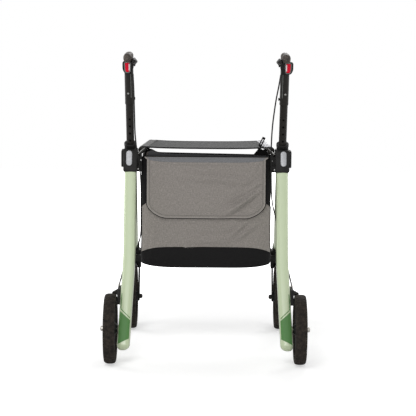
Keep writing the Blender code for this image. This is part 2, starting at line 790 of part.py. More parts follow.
def add_rear_wheel(name, side):
    """Rear tyre and rim on the axle, and the fixed axle through the leg's boss."""
    centre = Vector((side * REAR_TRACK / 2, REAR_AXLE_Y, WHEEL_RADIUS))
    pivot = add_pivot("rear_wheel_pivot_" + name, centre)
    add_part("rear_tyre_" + name, tyre_solid(centre), "tyre_rubber", pivot)
    rim = rim_solid(centre, REAR_HUB_WIDTH, REAR_AXLE_RADIUS + GAP)
    add_part("rear_rim_" + name, rim, "black_plastic", pivot)
    boss = rear_leg_boss_face()
    hub = REAR_HUB_WIDTH / 2
    middle = REAR_TRACK / 2
    profile = [
        (REAR_AXLE_RADIUS, boss - AXLE_SEAT_DEPTH), (REAR_AXLE_RADIUS, boss + GAP),
        (AXLE_SPACER_RADIUS, boss + GAP), (AXLE_SPACER_RADIUS, middle - hub - GAP),
        (REAR_AXLE_RADIUS, middle - hub - GAP), (REAR_AXLE_RADIUS, middle + hub + GAP),
        (REAR_CAP_RADIUS, middle + hub + GAP), (REAR_CAP_RADIUS, middle + hub + REAR_CAP_LENGTH * 0.7),
        (REAR_CAP_RADIUS * 0.55, middle + hub + REAR_CAP_LENGTH),
    ]
    start = Vector((0, REAR_AXLE_Y, WHEEL_RADIUS))
    axle = lathe(profile, start, X_AXIS * side, 12)
    add_part("rear_axle_" + name, axle, "steel")


def rear_leg_boss_face():
    """The outer face of the axle boss, as a distance from the middle."""
    return rear_leg_centre(1, WHEEL_RADIUS).x + rear_leg_width(WHEEL_RADIUS) / 2 + LEG_BOSS_PROUD


def add_caster(name, side):
    """Fork on its stem, front axle, tyre and rim; the fork turns about the stem."""
    centre_x = side * FRONT_TRACK / 2
    swivel = add_pivot("fork_pivot_" + name, Vector((centre_x, SWIVEL_Y, CROWN_TOP_Z)))
    axle_at = Vector((centre_x, FRONT_AXLE_Y, WHEEL_RADIUS))
    add_part("fork_" + name, fork_solid(centre_x), "black_plastic", swivel)
    add_part("front_axle_" + name, front_axle_solid(axle_at), "black_metal", swivel)
    wheel = add_pivot("front_wheel_pivot_" + name, axle_at)
    add_part("front_tyre_" + name, tyre_solid(axle_at), "tyre_rubber", wheel)
    rim = rim_solid(axle_at, 2 * (FORK_INNER - GAP), FRONT_AXLE_RADIUS + GAP)
    add_part("front_rim_" + name, rim, "black_plastic", wheel)


def fork_solid(centre_x):
    """Crown, two arms that trail to the axle, and the stem."""
    crown = box((centre_x - FORK_OUTER, centre_x + FORK_OUTER),
                (SWIVEL_Y - CROWN_HALF_DEPTH, SWIVEL_Y + CROWN_HALF_DEPTH), (CROWN_LOW_Z, CROWN_TOP_Z))
    ear = []
    for i in range(9):
        angle = math.pi * (0.86 + i / 8)
        ear.append((FRONT_AXLE_Y + FORK_EAR_RADIUS * math.cos(angle),
                    WHEEL_RADIUS + FORK_EAR_RADIUS * math.sin(angle)))
    outline = [(SWIVEL_Y - CROWN_HALF_DEPTH, CROWN_TOP_Z), *ear, (SWIVEL_Y + CROWN_HALF_DEPTH, CROWN_TOP_Z)]
    parts = [crown]
    for low in (-FORK_OUTER, FORK_INNER):
        parts.append(side_prism(outline, centre_x + low, centre_x + low + FORK_ARM))
    for sign in (-1, 1):
        shoulder_x = (centre_x + sign * (FORK_OUTER - FORK_ARM / 2),
                      centre_x + sign * (FORK_OUTER + FORK_SHOULDER))
        shoulder = box(shoulder_x, (SWIVEL_Y - FORK_SHOULDER_HALF_DEPTH, SWIVEL_Y + FORK_SHOULDER_HALF_DEPTH),
                       (CROWN_LOW_Z - FORK_SHOULDER_DROP, CROWN_TOP_Z))
        parts.append(soften(shoulder, FINE_EDGE))
    base = Vector((centre_x, SWIVEL_Y, CROWN_LOW_Z + CROWN_THICKNESS / 2))
    parts.append(cylinder(base, base + Z_AXIS * (STEM_PIN_LENGTH + CROWN_THICKNESS / 2), STEM_PIN_RADIUS, 12))
    axle = Vector((centre_x, FRONT_AXLE_Y, WHEEL_RADIUS))
    bore = cylinder(axle - X_AXIS * CUT_FAR, axle + X_AXIS * CUT_FAR, FRONT_AXLE_RADIUS + GAP, 12)
    return cut(join(*parts), bore)


def front_axle_solid(centre):
    """A through axle with a domed nut at each end."""
    face = FORK_OUTER + GAP
    end = face + FRONT_NUT_LENGTH
    half = [(FRONT_NUT_RADIUS * 0.5, end), (FRONT_NUT_RADIUS * 0.9, end - FRONT_NUT_LENGTH * 0.3),
            (FRONT_NUT_RADIUS, face), (FRONT_AXLE_RADIUS, face)]
    profile = [(r, -d) for r, d in half] + [(r, d) for r, d in reversed(half)]
    return lathe(profile, centre, X_AXIS, 12)


# Side frames

def add_rear_leg(name, side):
    """The hollow rear leg with its solid foot, axle boss and bore."""
    top = HEAD_LOW_Z + LEG_SOCKET_DEPTH
    heights = [FOOT_Z + FOOT_ROUNDING, WHEEL_RADIUS, LEG_SOLID_Z]
    heights += [SPLAY_START_Z + rise for rise in SPLAY_RINGS] + [top]
    outer = []
    for share, scale in ((0.0, 0.50), (0.12, 0.74), (0.42, 0.92)):
        outer.append(rear_leg_ring(side, FOOT_Z + share * FOOT_ROUNDING, scale=scale))
    outer += [rear_leg_ring(side, z) for z in heights]
    inner = [rear_leg_ring(side, z, -REAR_LEG_WALL) for z in reversed(heights) if z >= LEG_SOLID_Z]
    leg = loft(outer + inner)
    face = rear_leg_boss_face()
    axle = Vector((0, REAR_AXLE_Y, WHEEL_RADIUS))
    outward = X_AXIS * side
    boss = cylinder(axle + outward * (face - LEG_BOSS_ROOT), axle + outward * face, LEG_BOSS_RADIUS, 16)
    bore = cylinder(axle + outward * (face - AXLE_SEAT_DEPTH - GAP), axle + outward * (face + CUT_OVER),
                    REAR_AXLE_RADIUS + GAP, 12)
    add_part("rear_leg_" + name, cut(join(leg, boss), bore), "pale_green")


def add_leg_panel(name, side):
    """A thin panel that follows the leg's rear face and its outer corner."""
    section = soft_square(1.0, 1.0, REAR_LEG_SQUARENESS, LEG_STEPS)
    spread = [section[column][0] for column in PANEL_COLUMNS]
    corners = []
    for grow in (GAP, GAP + PANEL_THICKNESS):
        rows = []
        for level in range(4):
            row = []
            for across, column in zip(spread, PANEL_COLUMNS):
                share = (across - spread[0]) / (spread[-1] - spread[0])
                low = PANEL_INNER_LOW + share * (PANEL_OUTER_LOW - PANEL_INNER_LOW)
                high = PANEL_INNER_TOP + share * (PANEL_OUTER_TOP - PANEL_INNER_TOP)
                z = WHEEL_RADIUS + low + (high - low) * level / 3
                row.append(rear_leg_ring(side, z, grow)[column])
            rows.append(row)
        corners.append(rows)
    inside, outside = corners
    rings = [a + list(reversed(b)) for a, b in zip(inside, outside)]
    add_part("leg_panel_" + name, loft(rings), "dark_green")


def add_front_leg(name, side):
    """The front leg, hollow above its bend so that the handle tube can slide into it."""
    points = front_leg_points(side)
    outer = swept_circles(points, FRONT_LEG_RADIUS, 16)
    outer[0] = circle_ring(points[0], handle_direction() * -1, FRONT_LEG_RADIUS, 16)
    bore = HANDLE_TUBE_RADIUS + SLIDE_GAP
    bottom = handle_point(side, -FRONT_LEG_STRAIGHT)
    inner = [circle_ring(p, handle_direction() * -1, bore, 16) for p in (bottom, points[0])]
    add_part("front_leg_" + name, loft(list(reversed(outer)) + list(reversed(inner))), "pale_green")


def head_back_y(z):
    """The joint head's rear face, which follows the rear leg."""
    return rear_leg_y(z) - (REAR_LEG_DEPTH / 2 + HEAD_WALL) / math.cos(REAR_LEG_LEAN)


def head_front_y(z):
    """The joint head's front face, which follows the front leg."""
    return handle_y(z) + (FRONT_LEG_RADIUS + HEAD_WALL) / math.cos(HANDLE_LEAN)


def button_centre(side):
    """The middle of the button's place on the head's rear face."""
    return Vector((side * BUTTON_X, head_back_y(BUTTON_Z), BUTTON_Z))


def button_prism(side, grow, low, high):
    """The button's slot shape, from low to high along the face's outward normal."""
    up = Vector((0, math.sin(REAR_LEG_LEAN), math.cos(REAR_LEG_LEAN)))
    outline = stadium(BUTTON_HEIGHT + 2 * grow, BUTTON_WIDTH + 2 * grow, 6)
    return prism(outline, button_centre(side), X_AXIS, up, low, high)


def add_joint_head(name, side):
    """The casting that joins the legs, guides the handle tube and cradles the seat rail."""
    outline = [(head_back_y(z), z) for z in (HEAD_LOW_Z, HEAD_TOP_Z)]
    outline += [(head_front_y(z), z) for z in (HEAD_TOP_Z, HEAD_LOW_Z)]
    body = side_prism(outline, *sorted((side * HEAD_INNER_X, side * HEAD_OUTER_X)))
    soften(body, SOFT_EDGE)
    middle = sum(y for y, _ in outline) / len(outline)
    block_x = (side * (HEAD_OUTER_X - HEAD_BLOCK_ROOT), side * (HEAD_OUTER_X + HEAD_BLOCK_PROUD))
    block = box(block_x, (middle - HEAD_BLOCK_HALF_DEPTH, middle + HEAD_BLOCK_HALF_DEPTH),
                (HEAD_Z - HEAD_BLOCK_BELOW, HEAD_Z + HEAD_BLOCK_ABOVE))
    soften(block, SOFT_EDGE)
    collar = cylinder(handle_point(side, 0.0), handle_point(side, COLLAR_TOP), COLLAR_RADIUS, 20)
    cradle = box((side * CRADLE_INNER_X, side * (HEAD_INNER_X + CRADLE_ROOT)),
                 (CRADLE_BACK_Y, CRADLE_FRONT_Y), (TIP_Z - CRADLE_HEIGHT, TIP_Z))
    head = join(body, block, collar, cradle)
    below = handle_point(side, -2 * COLLAR_TOP)
    tube = cylinder(below, handle_point(side, COLLAR_TOP + CUT_OVER), HANDLE_TUBE_RADIUS + SLIDE_GAP, 16)
    front_socket = cylinder(below, handle_point(side, FRONT_LEG_TOP + GAP), FRONT_LEG_RADIUS + GAP, 16)
    rear_socket = rear_leg_block(side, GAP, HEAD_LOW_Z - CUT_FAR, HEAD_LOW_Z + LEG_SOCKET_DEPTH + GAP)
    pocket = button_prism(side, GAP, -BUTTON_POCKET, CUT_OVER)
    head = cut(head, tube, front_socket, rear_socket, pocket, cradle_slot(side))
    add_part("joint_head_" + name, head, "black_plastic")


def cradle_slot(side):
    """The space for the seat rail's tip, round below and open above."""
    half = TIP_RADIUS + GAP
    outline = [(half * math.cos(a), half * math.sin(a)) for a in (math.pi * (1 + i / 6) for i in range(7))]
    outline += [(half, CUT_FAR), (-half, CUT_FAR)]
    ends = [tip_point(side, share) for share in (0.0, 1.4)]
    return loft([placed(outline, end, X_AXIS, Z_AXIS) for end in ends])


def add_height_button(name, side):
    """The silver release button, which presses into its pocket."""
    button = button_prism(side, 0.0, -BUTTON_DEPTH, BUTTON_PROUD)
    soften(button, FINE_EDGE)
    pivot = add_pivot("height_button_pivot_" + name, button_centre(side))
    add_part("height_button_" + name, button, "white_silver", pivot)


def add_caster_head(name, side, layer):
    """The block at the front leg's end, with the stem bore and the lug for the brace pin."""
    x = side * FRONT_TRACK / 2
    block = box((x - side * CASTER_HEAD_INNER, x + side * CASTER_HEAD_OUTER),
                (SWIVEL_Y - CASTER_HEAD_BACK, SWIVEL_Y + CASTER_HEAD_FRONT),
                (CASTER_HEAD_LOW_Z, CASTER_HEAD_TOP_Z))
    soften(block, ROUND_EDGE)
    arm_low = CASTER_HEAD_LOW_Z + CASTER_ARM_LIFT
    arm = box((side * CASTER_ARM_X, x),
              (BRACE_LOW_Y - CASTER_ARM_HALF_DEPTH, SWIVEL_Y - CASTER_ARM_FRONT),
              (arm_low, arm_low + CASTER_ARM_HEIGHT))
    pin_centre = brace_point(side * BRACE_HALF, 0.0)
    wide = LOW_LUG_HALF_WIDTH
    tall = LOW_LUG_HALF_HEIGHT
    lug = brace_section([(-wide, -tall), (wide, -tall), (wide, tall), (-wide, tall)], pin_centre,
                        layer_range(-layer, LUG_THICKNESS + LUG_TRIM, GAP - BAR_SPACING / 2 - LUG_TRIM))
    head = join(block, arm, lug)
    before, end = front_leg_points(side)[-2:]
    onward = (end - before).normalized()
    socket = cylinder(before - onward * CASTER_SOCKET_REACH, end + onward * GAP, FRONT_LEG_RADIUS + GAP, 16)
    stem = Vector((x, SWIVEL_Y, CASTER_HEAD_LOW_Z))
    bore = cylinder(stem - Z_AXIS * CUT_OVER, stem + Z_AXIS * (STEM_PIN_LENGTH + STEM_PIN_END_GAP),
                    STEM_PIN_RADIUS + GAP, 12)
    swing = brace_section(stadium(2 * BAR_WIDTH, 2 * BAR_WIDTH, 8), pin_centre,
                          layer_range(layer, BAR_THICKNESS + BAR_SWING_ROOM, BAR_SPACING / 2 - GAP))
    head = cut(head, socket, bore, swing)
    add_part("caster_head_" + name, join(head, brace_pin(pin_centre, layer)), "black_plastic")


def brace_pin(centre, layer):
    """A pin that stands from a lug through the bar's bore, as long as the bar is thick."""
    _, normal = brace_axes()
    root = centre - normal * (layer * LUG_THICKNESS * 0.5)
    tip = centre + normal * (layer * (BAR_SPACING / 2 + BAR_THICKNESS))
    return cylinder(root, tip, BRACE_PIN_RADIUS, 12)


# Handles

def add_handle(name, side):
    """Tube, stem, knob, housing, reflector and grip, which slide together."""
    pivot = add_pivot("handle_pivot_" + name, handle_point(side, 0.0))
    add_part("handle_tube_" + name, handle_tube_solid(side), "black_metal", pivot)
    stem = [(HANDLE_TUBE_RADIUS + GAP, STEM_LOW), (STEM_RADIUS, STEM_LOW),
            (STEM_RADIUS, STEM_TOP), (HANDLE_TUBE_RADIUS + GAP, STEM_TOP)]
    base = handle_point(side, 0.0)
    sleeve = lathe(stem, base, handle_direction(), 16, hollow=True)
    add_part("handle_stem_" + name, sleeve, "black_metal", pivot)
    knob_at = handle_point(side, STEM_LOW + KNOB_UP_STEM)
    inward = X_AXIS * -side
    knob_root = knob_at + inward * (STEM_RADIUS + GAP)
    knob = cylinder(knob_root, knob_root + inward * KNOB_LENGTH, KNOB_RADIUS, 12)
    add_part("clamp_knob_" + name, soften(knob, FINE_EDGE), "black_plastic", pivot)
    screw_at = handle_point(side, STEM_LOW + SCREW_UP_STEM) + handle_back() * (STEM_RADIUS + GAP)
    screw = cylinder(screw_at, screw_at + handle_back() * SCREW_HEIGHT, SCREW_RADIUS, 12)
    add_part("stem_screw_" + name, screw, "silver", pivot)
    add_part("brake_housing_" + name, housing_solid(side), "black_plastic", pivot)
    add_part("red_reflector_" + name, reflector_solid(side), "red_lens", pivot)
    add_part("grip_" + name, grip_solid(side), "grip_rubber", pivot)


def handle_tube_solid(side):
    """The holed tube: the holes are in its rear wall, one pitch apart."""
    inner = HANDLE_TUBE_RADIUS - HANDLE_TUBE_WALL
    profile = [(inner, HANDLE_TUBE_LOW), (HANDLE_TUBE_RADIUS, HANDLE_TUBE_LOW),
               (HANDLE_TUBE_RADIUS, HANDLE_TUBE_TOP), (inner, HANDLE_TUBE_TOP)]
    tube = lathe(profile, handle_point(side, 0.0), handle_direction(), 16, hollow=True)
    first = (BUTTON_Z - HEAD_Z) / math.cos(HANDLE_LEAN) + HOLE_PITCH / 2
    drills = []
    for k in range(-HOLES_DOWN, HOLES_UP + 1):
        at = handle_point(side, first + k * HOLE_PITCH)
        start = at + handle_back() * (inner / 2)
        drills.append(cylinder(start, at + handle_back() * CUT_FAR, HOLE_RADIUS, 8))
    return cut(tube, *drills)


def housing_back_y(z):
    """The brake housing's rear face, parallel to the handle tube."""
    return handle_y(z) - HOUSING_BACK / math.cos(HANDLE_LEAN)


def housing_solid(side):
    """Block at the stem's top, rounded at its low outer corner, with the lever's pin."""
    front_low = handle_y(HOUSING_LOW_Z) + HOUSING_FRONT
    back_corner_z = HOUSING_LOW_Z + HOUSING_BACK_CHAMFER
    side_view = [(housing_back_y(HOUSING_LOW_Z) + HOUSING_CHAMFER, HOUSING_LOW_Z),
                 (front_low - HOUSING_CHAMFER, HOUSING_LOW_Z),
                 (front_low, HOUSING_LOW_Z + HOUSING_CHAMFER),
                 (handle_y(HOUSING_TOP_Z) + HOUSING_TOP_FRONT, HOUSING_TOP_Z),
                 (housing_back_y(HOUSING_TOP_Z), HOUSING_TOP_Z),
                 (housing_back_y(back_corner_z), back_corner_z)]
    body = side_prism(side_view, *sorted((side * (HANDLE_X - CUT_FAR), side * (HANDLE_X + CUT_FAR))))
    inner = HANDLE_X - HOUSING_INNER
    outer = HANDLE_X + HOUSING_OUTER
    over = HOUSING_TOP_Z + CUT_OVER
    rear_view = [(side * outer, over), (side * inner, over), (side * inner, HOUSING_LOW_Z - CUT_OVER)]
    for i in range(5):
        angle = math.radians(-90 + 22.5 * i)
        rear_view.append((side * (outer - HOUSING_CORNER + HOUSING_CORNER * math.cos(angle)),
                          HOUSING_LOW_Z - GAP + HOUSING_CORNER + HOUSING_CORNER * math.sin(angle)))
    middle = Vector((0, handle_y(HOUSING_LOW_Z), 0))
    shape = prism(rear_view, middle, X_AXIS, Z_AXIS, -2 * CUT_FAR, 2 * CUT_FAR)
    body = soften(combine(body, shape, "INTERSECT"), FINE_EDGE)
    pin = cylinder(Vector((side * (inner + LEVER_PIN_ROOT), LEVER_Y, LEVER_Z)),
                   Vector((side * (LEVER_KNUCKLE_INNER_X - LEVER_PIN_END), LEVER_Y, LEVER_Z)),
                   LEVER_PIN_RADIUS, 12)
    bore = cylinder(handle_point(side, STEM_LOW), handle_point(side, STEM_TOP + GAP), STEM_RADIUS + GAP, 16)
    return join(cut(body, bore), pin)


def reflector_solid(side):
    """A rounded red lens on the housing's rear face."""
    middle_z = (HOUSING_LOW_Z + HOUSING_TOP_Z) / 2 + REFLECTOR_LIFT
    centre = Vector((side * (HANDLE_X + REFLECTOR_SHIFT), housing_back_y(middle_z), middle_z))
    outline = soft_square(REFLECTOR_WIDTH, REFLECTOR_HEIGHT, 3.0, 16)
    lens = prism(outline, centre, X_AXIS, handle_direction(), GAP, GAP + REFLECTOR_DEPTH)
    return soften(lens, FINE_EDGE)


def grip_solid(side):
    """An upright oval grip, swollen for the palm and rounded at both ends."""
    centre_z = HOUSING_TOP_Z + GAP + GRIP_HALF_HEIGHT
    stations = [(0.0, 0.45), (0.03, 0.80), (0.10, 0.97), (0.30, 0.98), (0.55, 1.0), (0.80, 1.0),
                (0.93, 0.94), (0.985, 0.74), (1.0, 0.45)]
    rings = []
    for share, size in stations:
        y = GRIP_FRONT_Y - share * GRIP_LENGTH
        outline = soft_square(2 * GRIP_HALF_WIDTH * size, 2 * GRIP_HALF_HEIGHT * size, 2.3, 14)
        rings.append(placed(outline, Vector((side * HANDLE_X, y, centre_z)), X_AXIS, Z_AXIS))
    return loft(rings)


def lever_section(side, behind, outer, tip_x, tip_rise, top_rise, low_rise):
    """The blade's wedge shape at a distance behind the hinge, with its thin edge to the inside."""
    corners = [(outer, top_rise), (outer, low_rise), (outer - 0.0025, low_rise - 0.0008),
               (tip_x + 0.0008, tip_rise - 0.0016), (tip_x, tip_rise), (tip_x + 0.0008, tip_rise + 0.0014),
               (outer - 0.0030, top_rise + 0.0004)]
    return [Vector((side * x, LEVER_Y - behind, LEVER_Z + rise)) for x, rise in corners]


def add_brake_lever(name, side):
    """A blade beside the grip that turns on the housing's pin; it is pulled upwards."""
    rings = [lever_section(side, *station) for station in LEVER_STATIONS]
    centre = Vector((0, LEVER_Y, LEVER_Z))
    near = centre + X_AXIS * side * LEVER_OUTER_X
    far = centre + X_AXIS * side * LEVER_KNUCKLE_INNER_X
    knuckle = cylinder(near, far, LEVER_KNUCKLE_RADIUS, 16)
    over = X_AXIS * side * CUT_OVER
    bore = cylinder(near + over, far - over, LEVER_PIN_RADIUS + GAP, 12)
    pivot = add_pivot("brake_lever_pivot_" + name, near)
    add_part("brake_lever_" + name, cut(join(loft(rings), knuckle), bore), "black_plastic", pivot)


# Brakes

def add_brake(name, side):
    """Bracket on the leg's outer face with a pin, and the arm with its shoe over the tyre."""
    inner_x = REAR_LEG_X + REAR_LEG_WIDTH / 2 - BRACKET_ROOT
    front_y = BRAKE_PIVOT_Y + BRAKE_BOSS_RADIUS
    bracket = box((side * inner_x, side * BRACKET_OUTER_X), (BRACKET_BACK_Y, front_y),
                  (BRACKET_LOW_Z, BRACKET_TOP_Z))
    soften(bracket, SOFT_EDGE)
    leg = rear_leg_block(side, GAP, BRACKET_LOW_Z - CUT_FAR, BRACKET_TOP_Z + CUT_FAR)
    leg_face = rear_leg_centre(1, BRACKET_LOW_Z).x + rear_leg_width(BRACKET_LOW_Z) / 2
    trim = box((side * (inner_x - CUT_OVER), side * (leg_face - BRACKET_INSET)),
               (BRACKET_BACK_Y - CUT_OVER, front_y + CUT_OVER),
               (BRACKET_LOW_Z - CUT_OVER, BRACKET_TOP_Z + CUT_OVER))
    centre = Vector((0, BRAKE_PIVOT_Y, BRAKE_PIVOT_Z))
    outward = X_AXIS * side
    pin = cylinder(centre + outward * (BRACKET_OUTER_X - BRAKE_PIN_ROOT),
                   centre + outward * (BRACKET_OUTER_X + GAP + BRAKE_ARM_THICKNESS), BRAKE_PIN_RADIUS, 12)
    bracket = cut(bracket, trim, leg)
    add_part("brake_bracket_" + name, join(bracket, pin), "black_plastic")
    pivot = add_pivot("brake_arm_pivot_" + name, centre + outward * BRACKET_OUTER_X)
    add_part("brake_arm_" + name, brake_arm_solid(side), "black_metal", pivot)


def brake_arm_solid(side):
    """A flat arm from the pivot to the shoe, which lies over the tyre with a gap."""
    near = WHEEL_RADIUS + BRAKE_GAP
    outward = Vector((0, math.sin(SHOE_ANGLE), math.cos(SHOE_ANGLE)))
    forward = Vector((0, math.cos(SHOE_ANGLE), -math.sin(SHOE_ANGLE)))
    axle = Vector((0, REAR_AXLE_Y, WHEEL_RADIUS))
    shoe_centre = axle + outward * (near + SHOE_THICKNESS / 2)
    x_near = BRACKET_OUTER_X + GAP
    x_far = x_near + BRAKE_ARM_THICKNESS
    shoe_far = x_near + SHOE_WIDTH
    half = SHOE_LENGTH / 2
    thick = SHOE_THICKNESS / 2
    corners = [shoe_centre + forward * a + outward * b
               for a, b in ((-half, -thick), (half, -thick), (half, thick), (-half, thick))]
    shoe = side_prism([(c.y, c.z) for c in corners], *sorted((side * x_near, side * shoe_far)))
    soften(shoe, FINE_EDGE)
    boss = []
    for i in range(7):
        angle = math.radians(-100) + math.pi * i / 6
        boss.append((BRAKE_PIVOT_Y + BRAKE_BOSS_RADIUS * math.cos(angle),
                     BRAKE_PIVOT_Z + BRAKE_BOSS_RADIUS * math.sin(angle)))
    heel = shoe_centre - forward * half * 0.5 + outward * thick * 0.9
    toe = shoe_centre + forward * half * 0.2 - outward * thick * 0.6
    outline = boss + [(heel.y, heel.z), (toe.y, toe.z)]
    arm = side_prism(outline, *sorted((side * x_near, side * x_far)))
    centre = Vector((0, BRAKE_PIVOT_Y, BRAKE_PIVOT_Z))
    bore = cylinder(centre + X_AXIS * side * (x_near - CUT_OVER), centre + X_AXIS * side * (x_far + CUT_OVER),
                    BRAKE_PIN_RADIUS + GAP, 12)
    return cut(join(arm, shoe), bore)


def add_cable(name, side, route):
    """A round cable along its route."""
    curve = bpy.data.curves.new("brake_cable_" + name, "CURVE")
    curve.dimensions = "3D"
    points = smooth_route(route, side, CABLE_SPACING)
    spline = curve.splines.new("POLY")
    spline.points.add(len(points) - 1)
    for target, point in zip(spline.points, points):
        target.co = (*point, 1)
    curve.bevel_depth = CABLE_RADIUS
    curve.bevel_resolution = 2
    curve.use_fill_caps = True
    curve.materials.append(finish_material("brake_cable_" + name, "black_plastic"))
    obj = bpy.data.objects.new("brake_cable_" + name, curve)
    bpy.context.scene.collection.objects.link(obj)


# Cross brace

def bar_solid(side, layer):
    """A bar from the low pivot on one side to the top pivot on the other, with three bores."""
    _, normal = brace_axes()
    low = brace_point(side * BRACE_HALF, 0.0)
    top = brace_point(-side * BRACE_HALF, 1.0)
    along = (top - low).normalized()
    across = normal.cross(along)
    outline = stadium((top - low).length + BAR_WIDTH, BAR_WIDTH, 6)
    start, end = layer_range(layer, BAR_THICKNESS, BAR_SPACING / 2)
    centre = (low + top) / 2
    bar = prism(outline, centre, along.cross(normal), along, start, end)
    soften(bar, SOFT_EDGE, angle=60)
    bores = []
    for at in (low, centre, top):
        bores.append(cylinder(at - normal * CUT_FAR, at + normal * CUT_FAR, BRACE_PIN_RADIUS + GAP, 12))
    return cut(bar, *bores)


def add_brace():
    """Two crossed bars on one centre bolt."""
    _, normal = brace_axes()
    centre = brace_point(0.0, 0.5)
    low_pivot = add_pivot("brace_a_pivot", brace_point(-BRACE_HALF, 0.0))
    centre_pivot = add_pivot("brace_b_pivot", centre)
    add_part("brace_bar_a", bar_solid(-1, 1), "black_metal", low_pivot)
    add_part("brace_bar_b", bar_solid(1, -1), "black_metal", centre_pivot)
    face = BAR_SPACING / 2 + BAR_THICKNESS + GAP
    end = face + BRACE_BOLT_HEAD
    head = BRACE_PIN_RADIUS * 1.9
    half = [(head * 0.8, end), (head, end - BRACE_BOLT_HEAD * 0.4), (head, face), (BRACE_PIN_RADIUS, face)]
    profile = [(r, -d) for r, d in half] + [(r, d) for r, d in reversed(half)]
    add_part("centre_bolt", lathe(profile, centre, normal, 16), "steel", low_pivot)


# Seat

def tip_point(side, share):
    """A point on the seat rail's bent tip, from the rail's back end to its far end."""
    start = rail_centre(side, RAIL_BACK_Y)
    end = Vector((side * TIP_X, TIP_Y, TIP_Z))
    return start.lerp(end, share)


def add_seat_rail(name, side, layer):
    """Rail with its bent tip, and the lug that carries the brace bar's top end."""
    rise, _ = brace_axes()
    pin_centre = brace_point(side * BRACE_HALF, 1.0)
    pivot = add_pivot("seat_rail_pivot_" + name, pin_centre)
    cap_end = SEAT_BACK_Y - RAIL_CAP_GAP
    cap_start = cap_end - RAIL_CAP_LENGTH
    rail_start = rail_centre(side, (cap_start + cap_end) / 2)
    rail = cylinder(rail_start, rail_centre(side, RAIL_FRONT_Y), RAIL_RADIUS, 16)
    soften(rail, FINE_EDGE)
    cap = cylinder(rail_centre(side, cap_start), rail_centre(side, cap_end), RAIL_CAP_RADIUS, 16)
    soften(cap, FINE_EDGE)
    tip = cylinder(tip_point(side, -0.3), tip_point(side, 1.0), TIP_RADIUS, 10)
    top = (RAIL_Z - pin_centre.z) / rise.z
    wide = TOP_LUG_HALF_WIDTH
    neck = TOP_LUG_NECK / 2
    half_outline = [(wide, -wide), (wide, TOP_LUG_SHOULDER), (neck, TOP_LUG_NECK_START), (neck, top)]
    outline = half_outline + [(-u, v) for u, v in reversed(half_outline)]
    lug = brace_section(outline, pin_centre, layer_range(-layer, LUG_THICKNESS, -(BAR_SPACING / 2 - GAP)))
    pin = brace_pin(pin_centre, layer)
    add_part("seat_rail_" + name, join(rail, cap, tip, lug, pin), "black_metal", pivot)
    return pivot


def seat_section(y):
    """The sling's cut across the seat at a value of y: over each rail's hem and flat between."""
    rail = rail_centre(1, y)
    inner_radius = (RAIL_RADIUS + GAP) / math.cos(HEM_STEP / 2)
    outer_radius = inner_radius + SEAT_CLOTH
    angles = [math.pi / 2 - HEM_STEP * i for i in range(HEM_COUNT, -1, -1)]
    half_top = [(rail.x + outer_radius * math.cos(a), RAIL_Z + outer_radius * math.sin(a)) for a in angles]
    half_low = [(rail.x + inner_radius * math.cos(a), RAIL_Z + inner_radius * math.sin(a)) for a in angles]
    for width, sag in zip(SEAT_SLOPE_WIDTHS, (SEAT_SAG * SEAT_EARLY_SAG, SEAT_SAG)):
        half_top.append((rail.x - width, RAIL_Z + outer_radius - sag))
        half_low.append((rail.x - width, RAIL_Z + inner_radius - sag))
    top = half_top + [(-x, z) for x, z in reversed(half_top)]
    low = half_low + [(-x, z) for x, z in reversed(half_low)]
    return [Vector((x, y, z)) for x, z in top + list(reversed(low))]


def add_seat(left_pivot, right_pivot):
    """The mesh sling over both rails, and the pull tab at its right side."""
    count = 4
    stations = [SEAT_BACK_Y + (SEAT_FRONT_Y - SEAT_BACK_Y) * i / count for i in range(count + 1)]
    add_part("seat_sling", loft([seat_section(y) for y in stations]), "seat_mesh", left_pivot)
    cloth_top = RAIL_Z + RAIL_RADIUS + GAP + SEAT_CLOTH - SEAT_SAG * SEAT_EARLY_SAG
    base_z = cloth_top + GAP + TAB_WIDTH / 2 * math.sin(TAB_LEAN)
    base = Vector((TAB_X, TAB_Y, base_z))
    up = Vector((math.sin(TAB_LEAN), 0, math.cos(TAB_LEAN)))
    across = Vector((math.cos(TAB_LEAN), 0, -math.sin(TAB_LEAN)))
    half = TAB_THICKNESS / 2
    wide = TAB_WIDTH / 2
    outline = [(-wide, 0), (wide, 0), (wide, TAB_HEIGHT), (-wide, TAB_HEIGHT)]
    tab = prism(outline, base, across, up, -half, half)
    soften(tab, FINE_EDGE * 0.8)
    slot_low = (TAB_HEIGHT - TAB_SLOT_HEIGHT) / 2
    narrow = TAB_SLOT_WIDTH / 2
    slot = prism([(-narrow, slot_low), (narrow, slot_low), (narrow, slot_low + TAB_SLOT_HEIGHT),
                  (-narrow, slot_low + TAB_SLOT_HEIGHT)], base, across, up, -CUT_OVER, CUT_OVER)
    add_part("pull_tab", cut(tab, slot), "black_fabric", right_pivot)


# Bag

def bag_front_y(z):
    """The bag's far side, which leans back towards its top."""
    share = (z - BAG_LOW_Z) / (BAG_TOP_Z - BAG_LOW_Z)
    return BAG_LOW_FRONT_Y + share * (BAG_TOP_FRONT_Y - BAG_LOW_FRONT_Y)


def bag_ring(z, half_width, inset=0.0, rise=0.0):
    """The bag's outline at a height, which may rise towards its far side."""
    back = BAG_BACK_Y + inset
    front = bag_front_y(z) - inset
    outline = soft_square(2 * (half_width - inset), front - back, BAG_SQUARENESS, 24)
    centre = Vector((0, (front + back) / 2, z + rise / 2))
    return placed(outline, centre, X_AXIS, Vector((0, 1, rise / (front - back))))


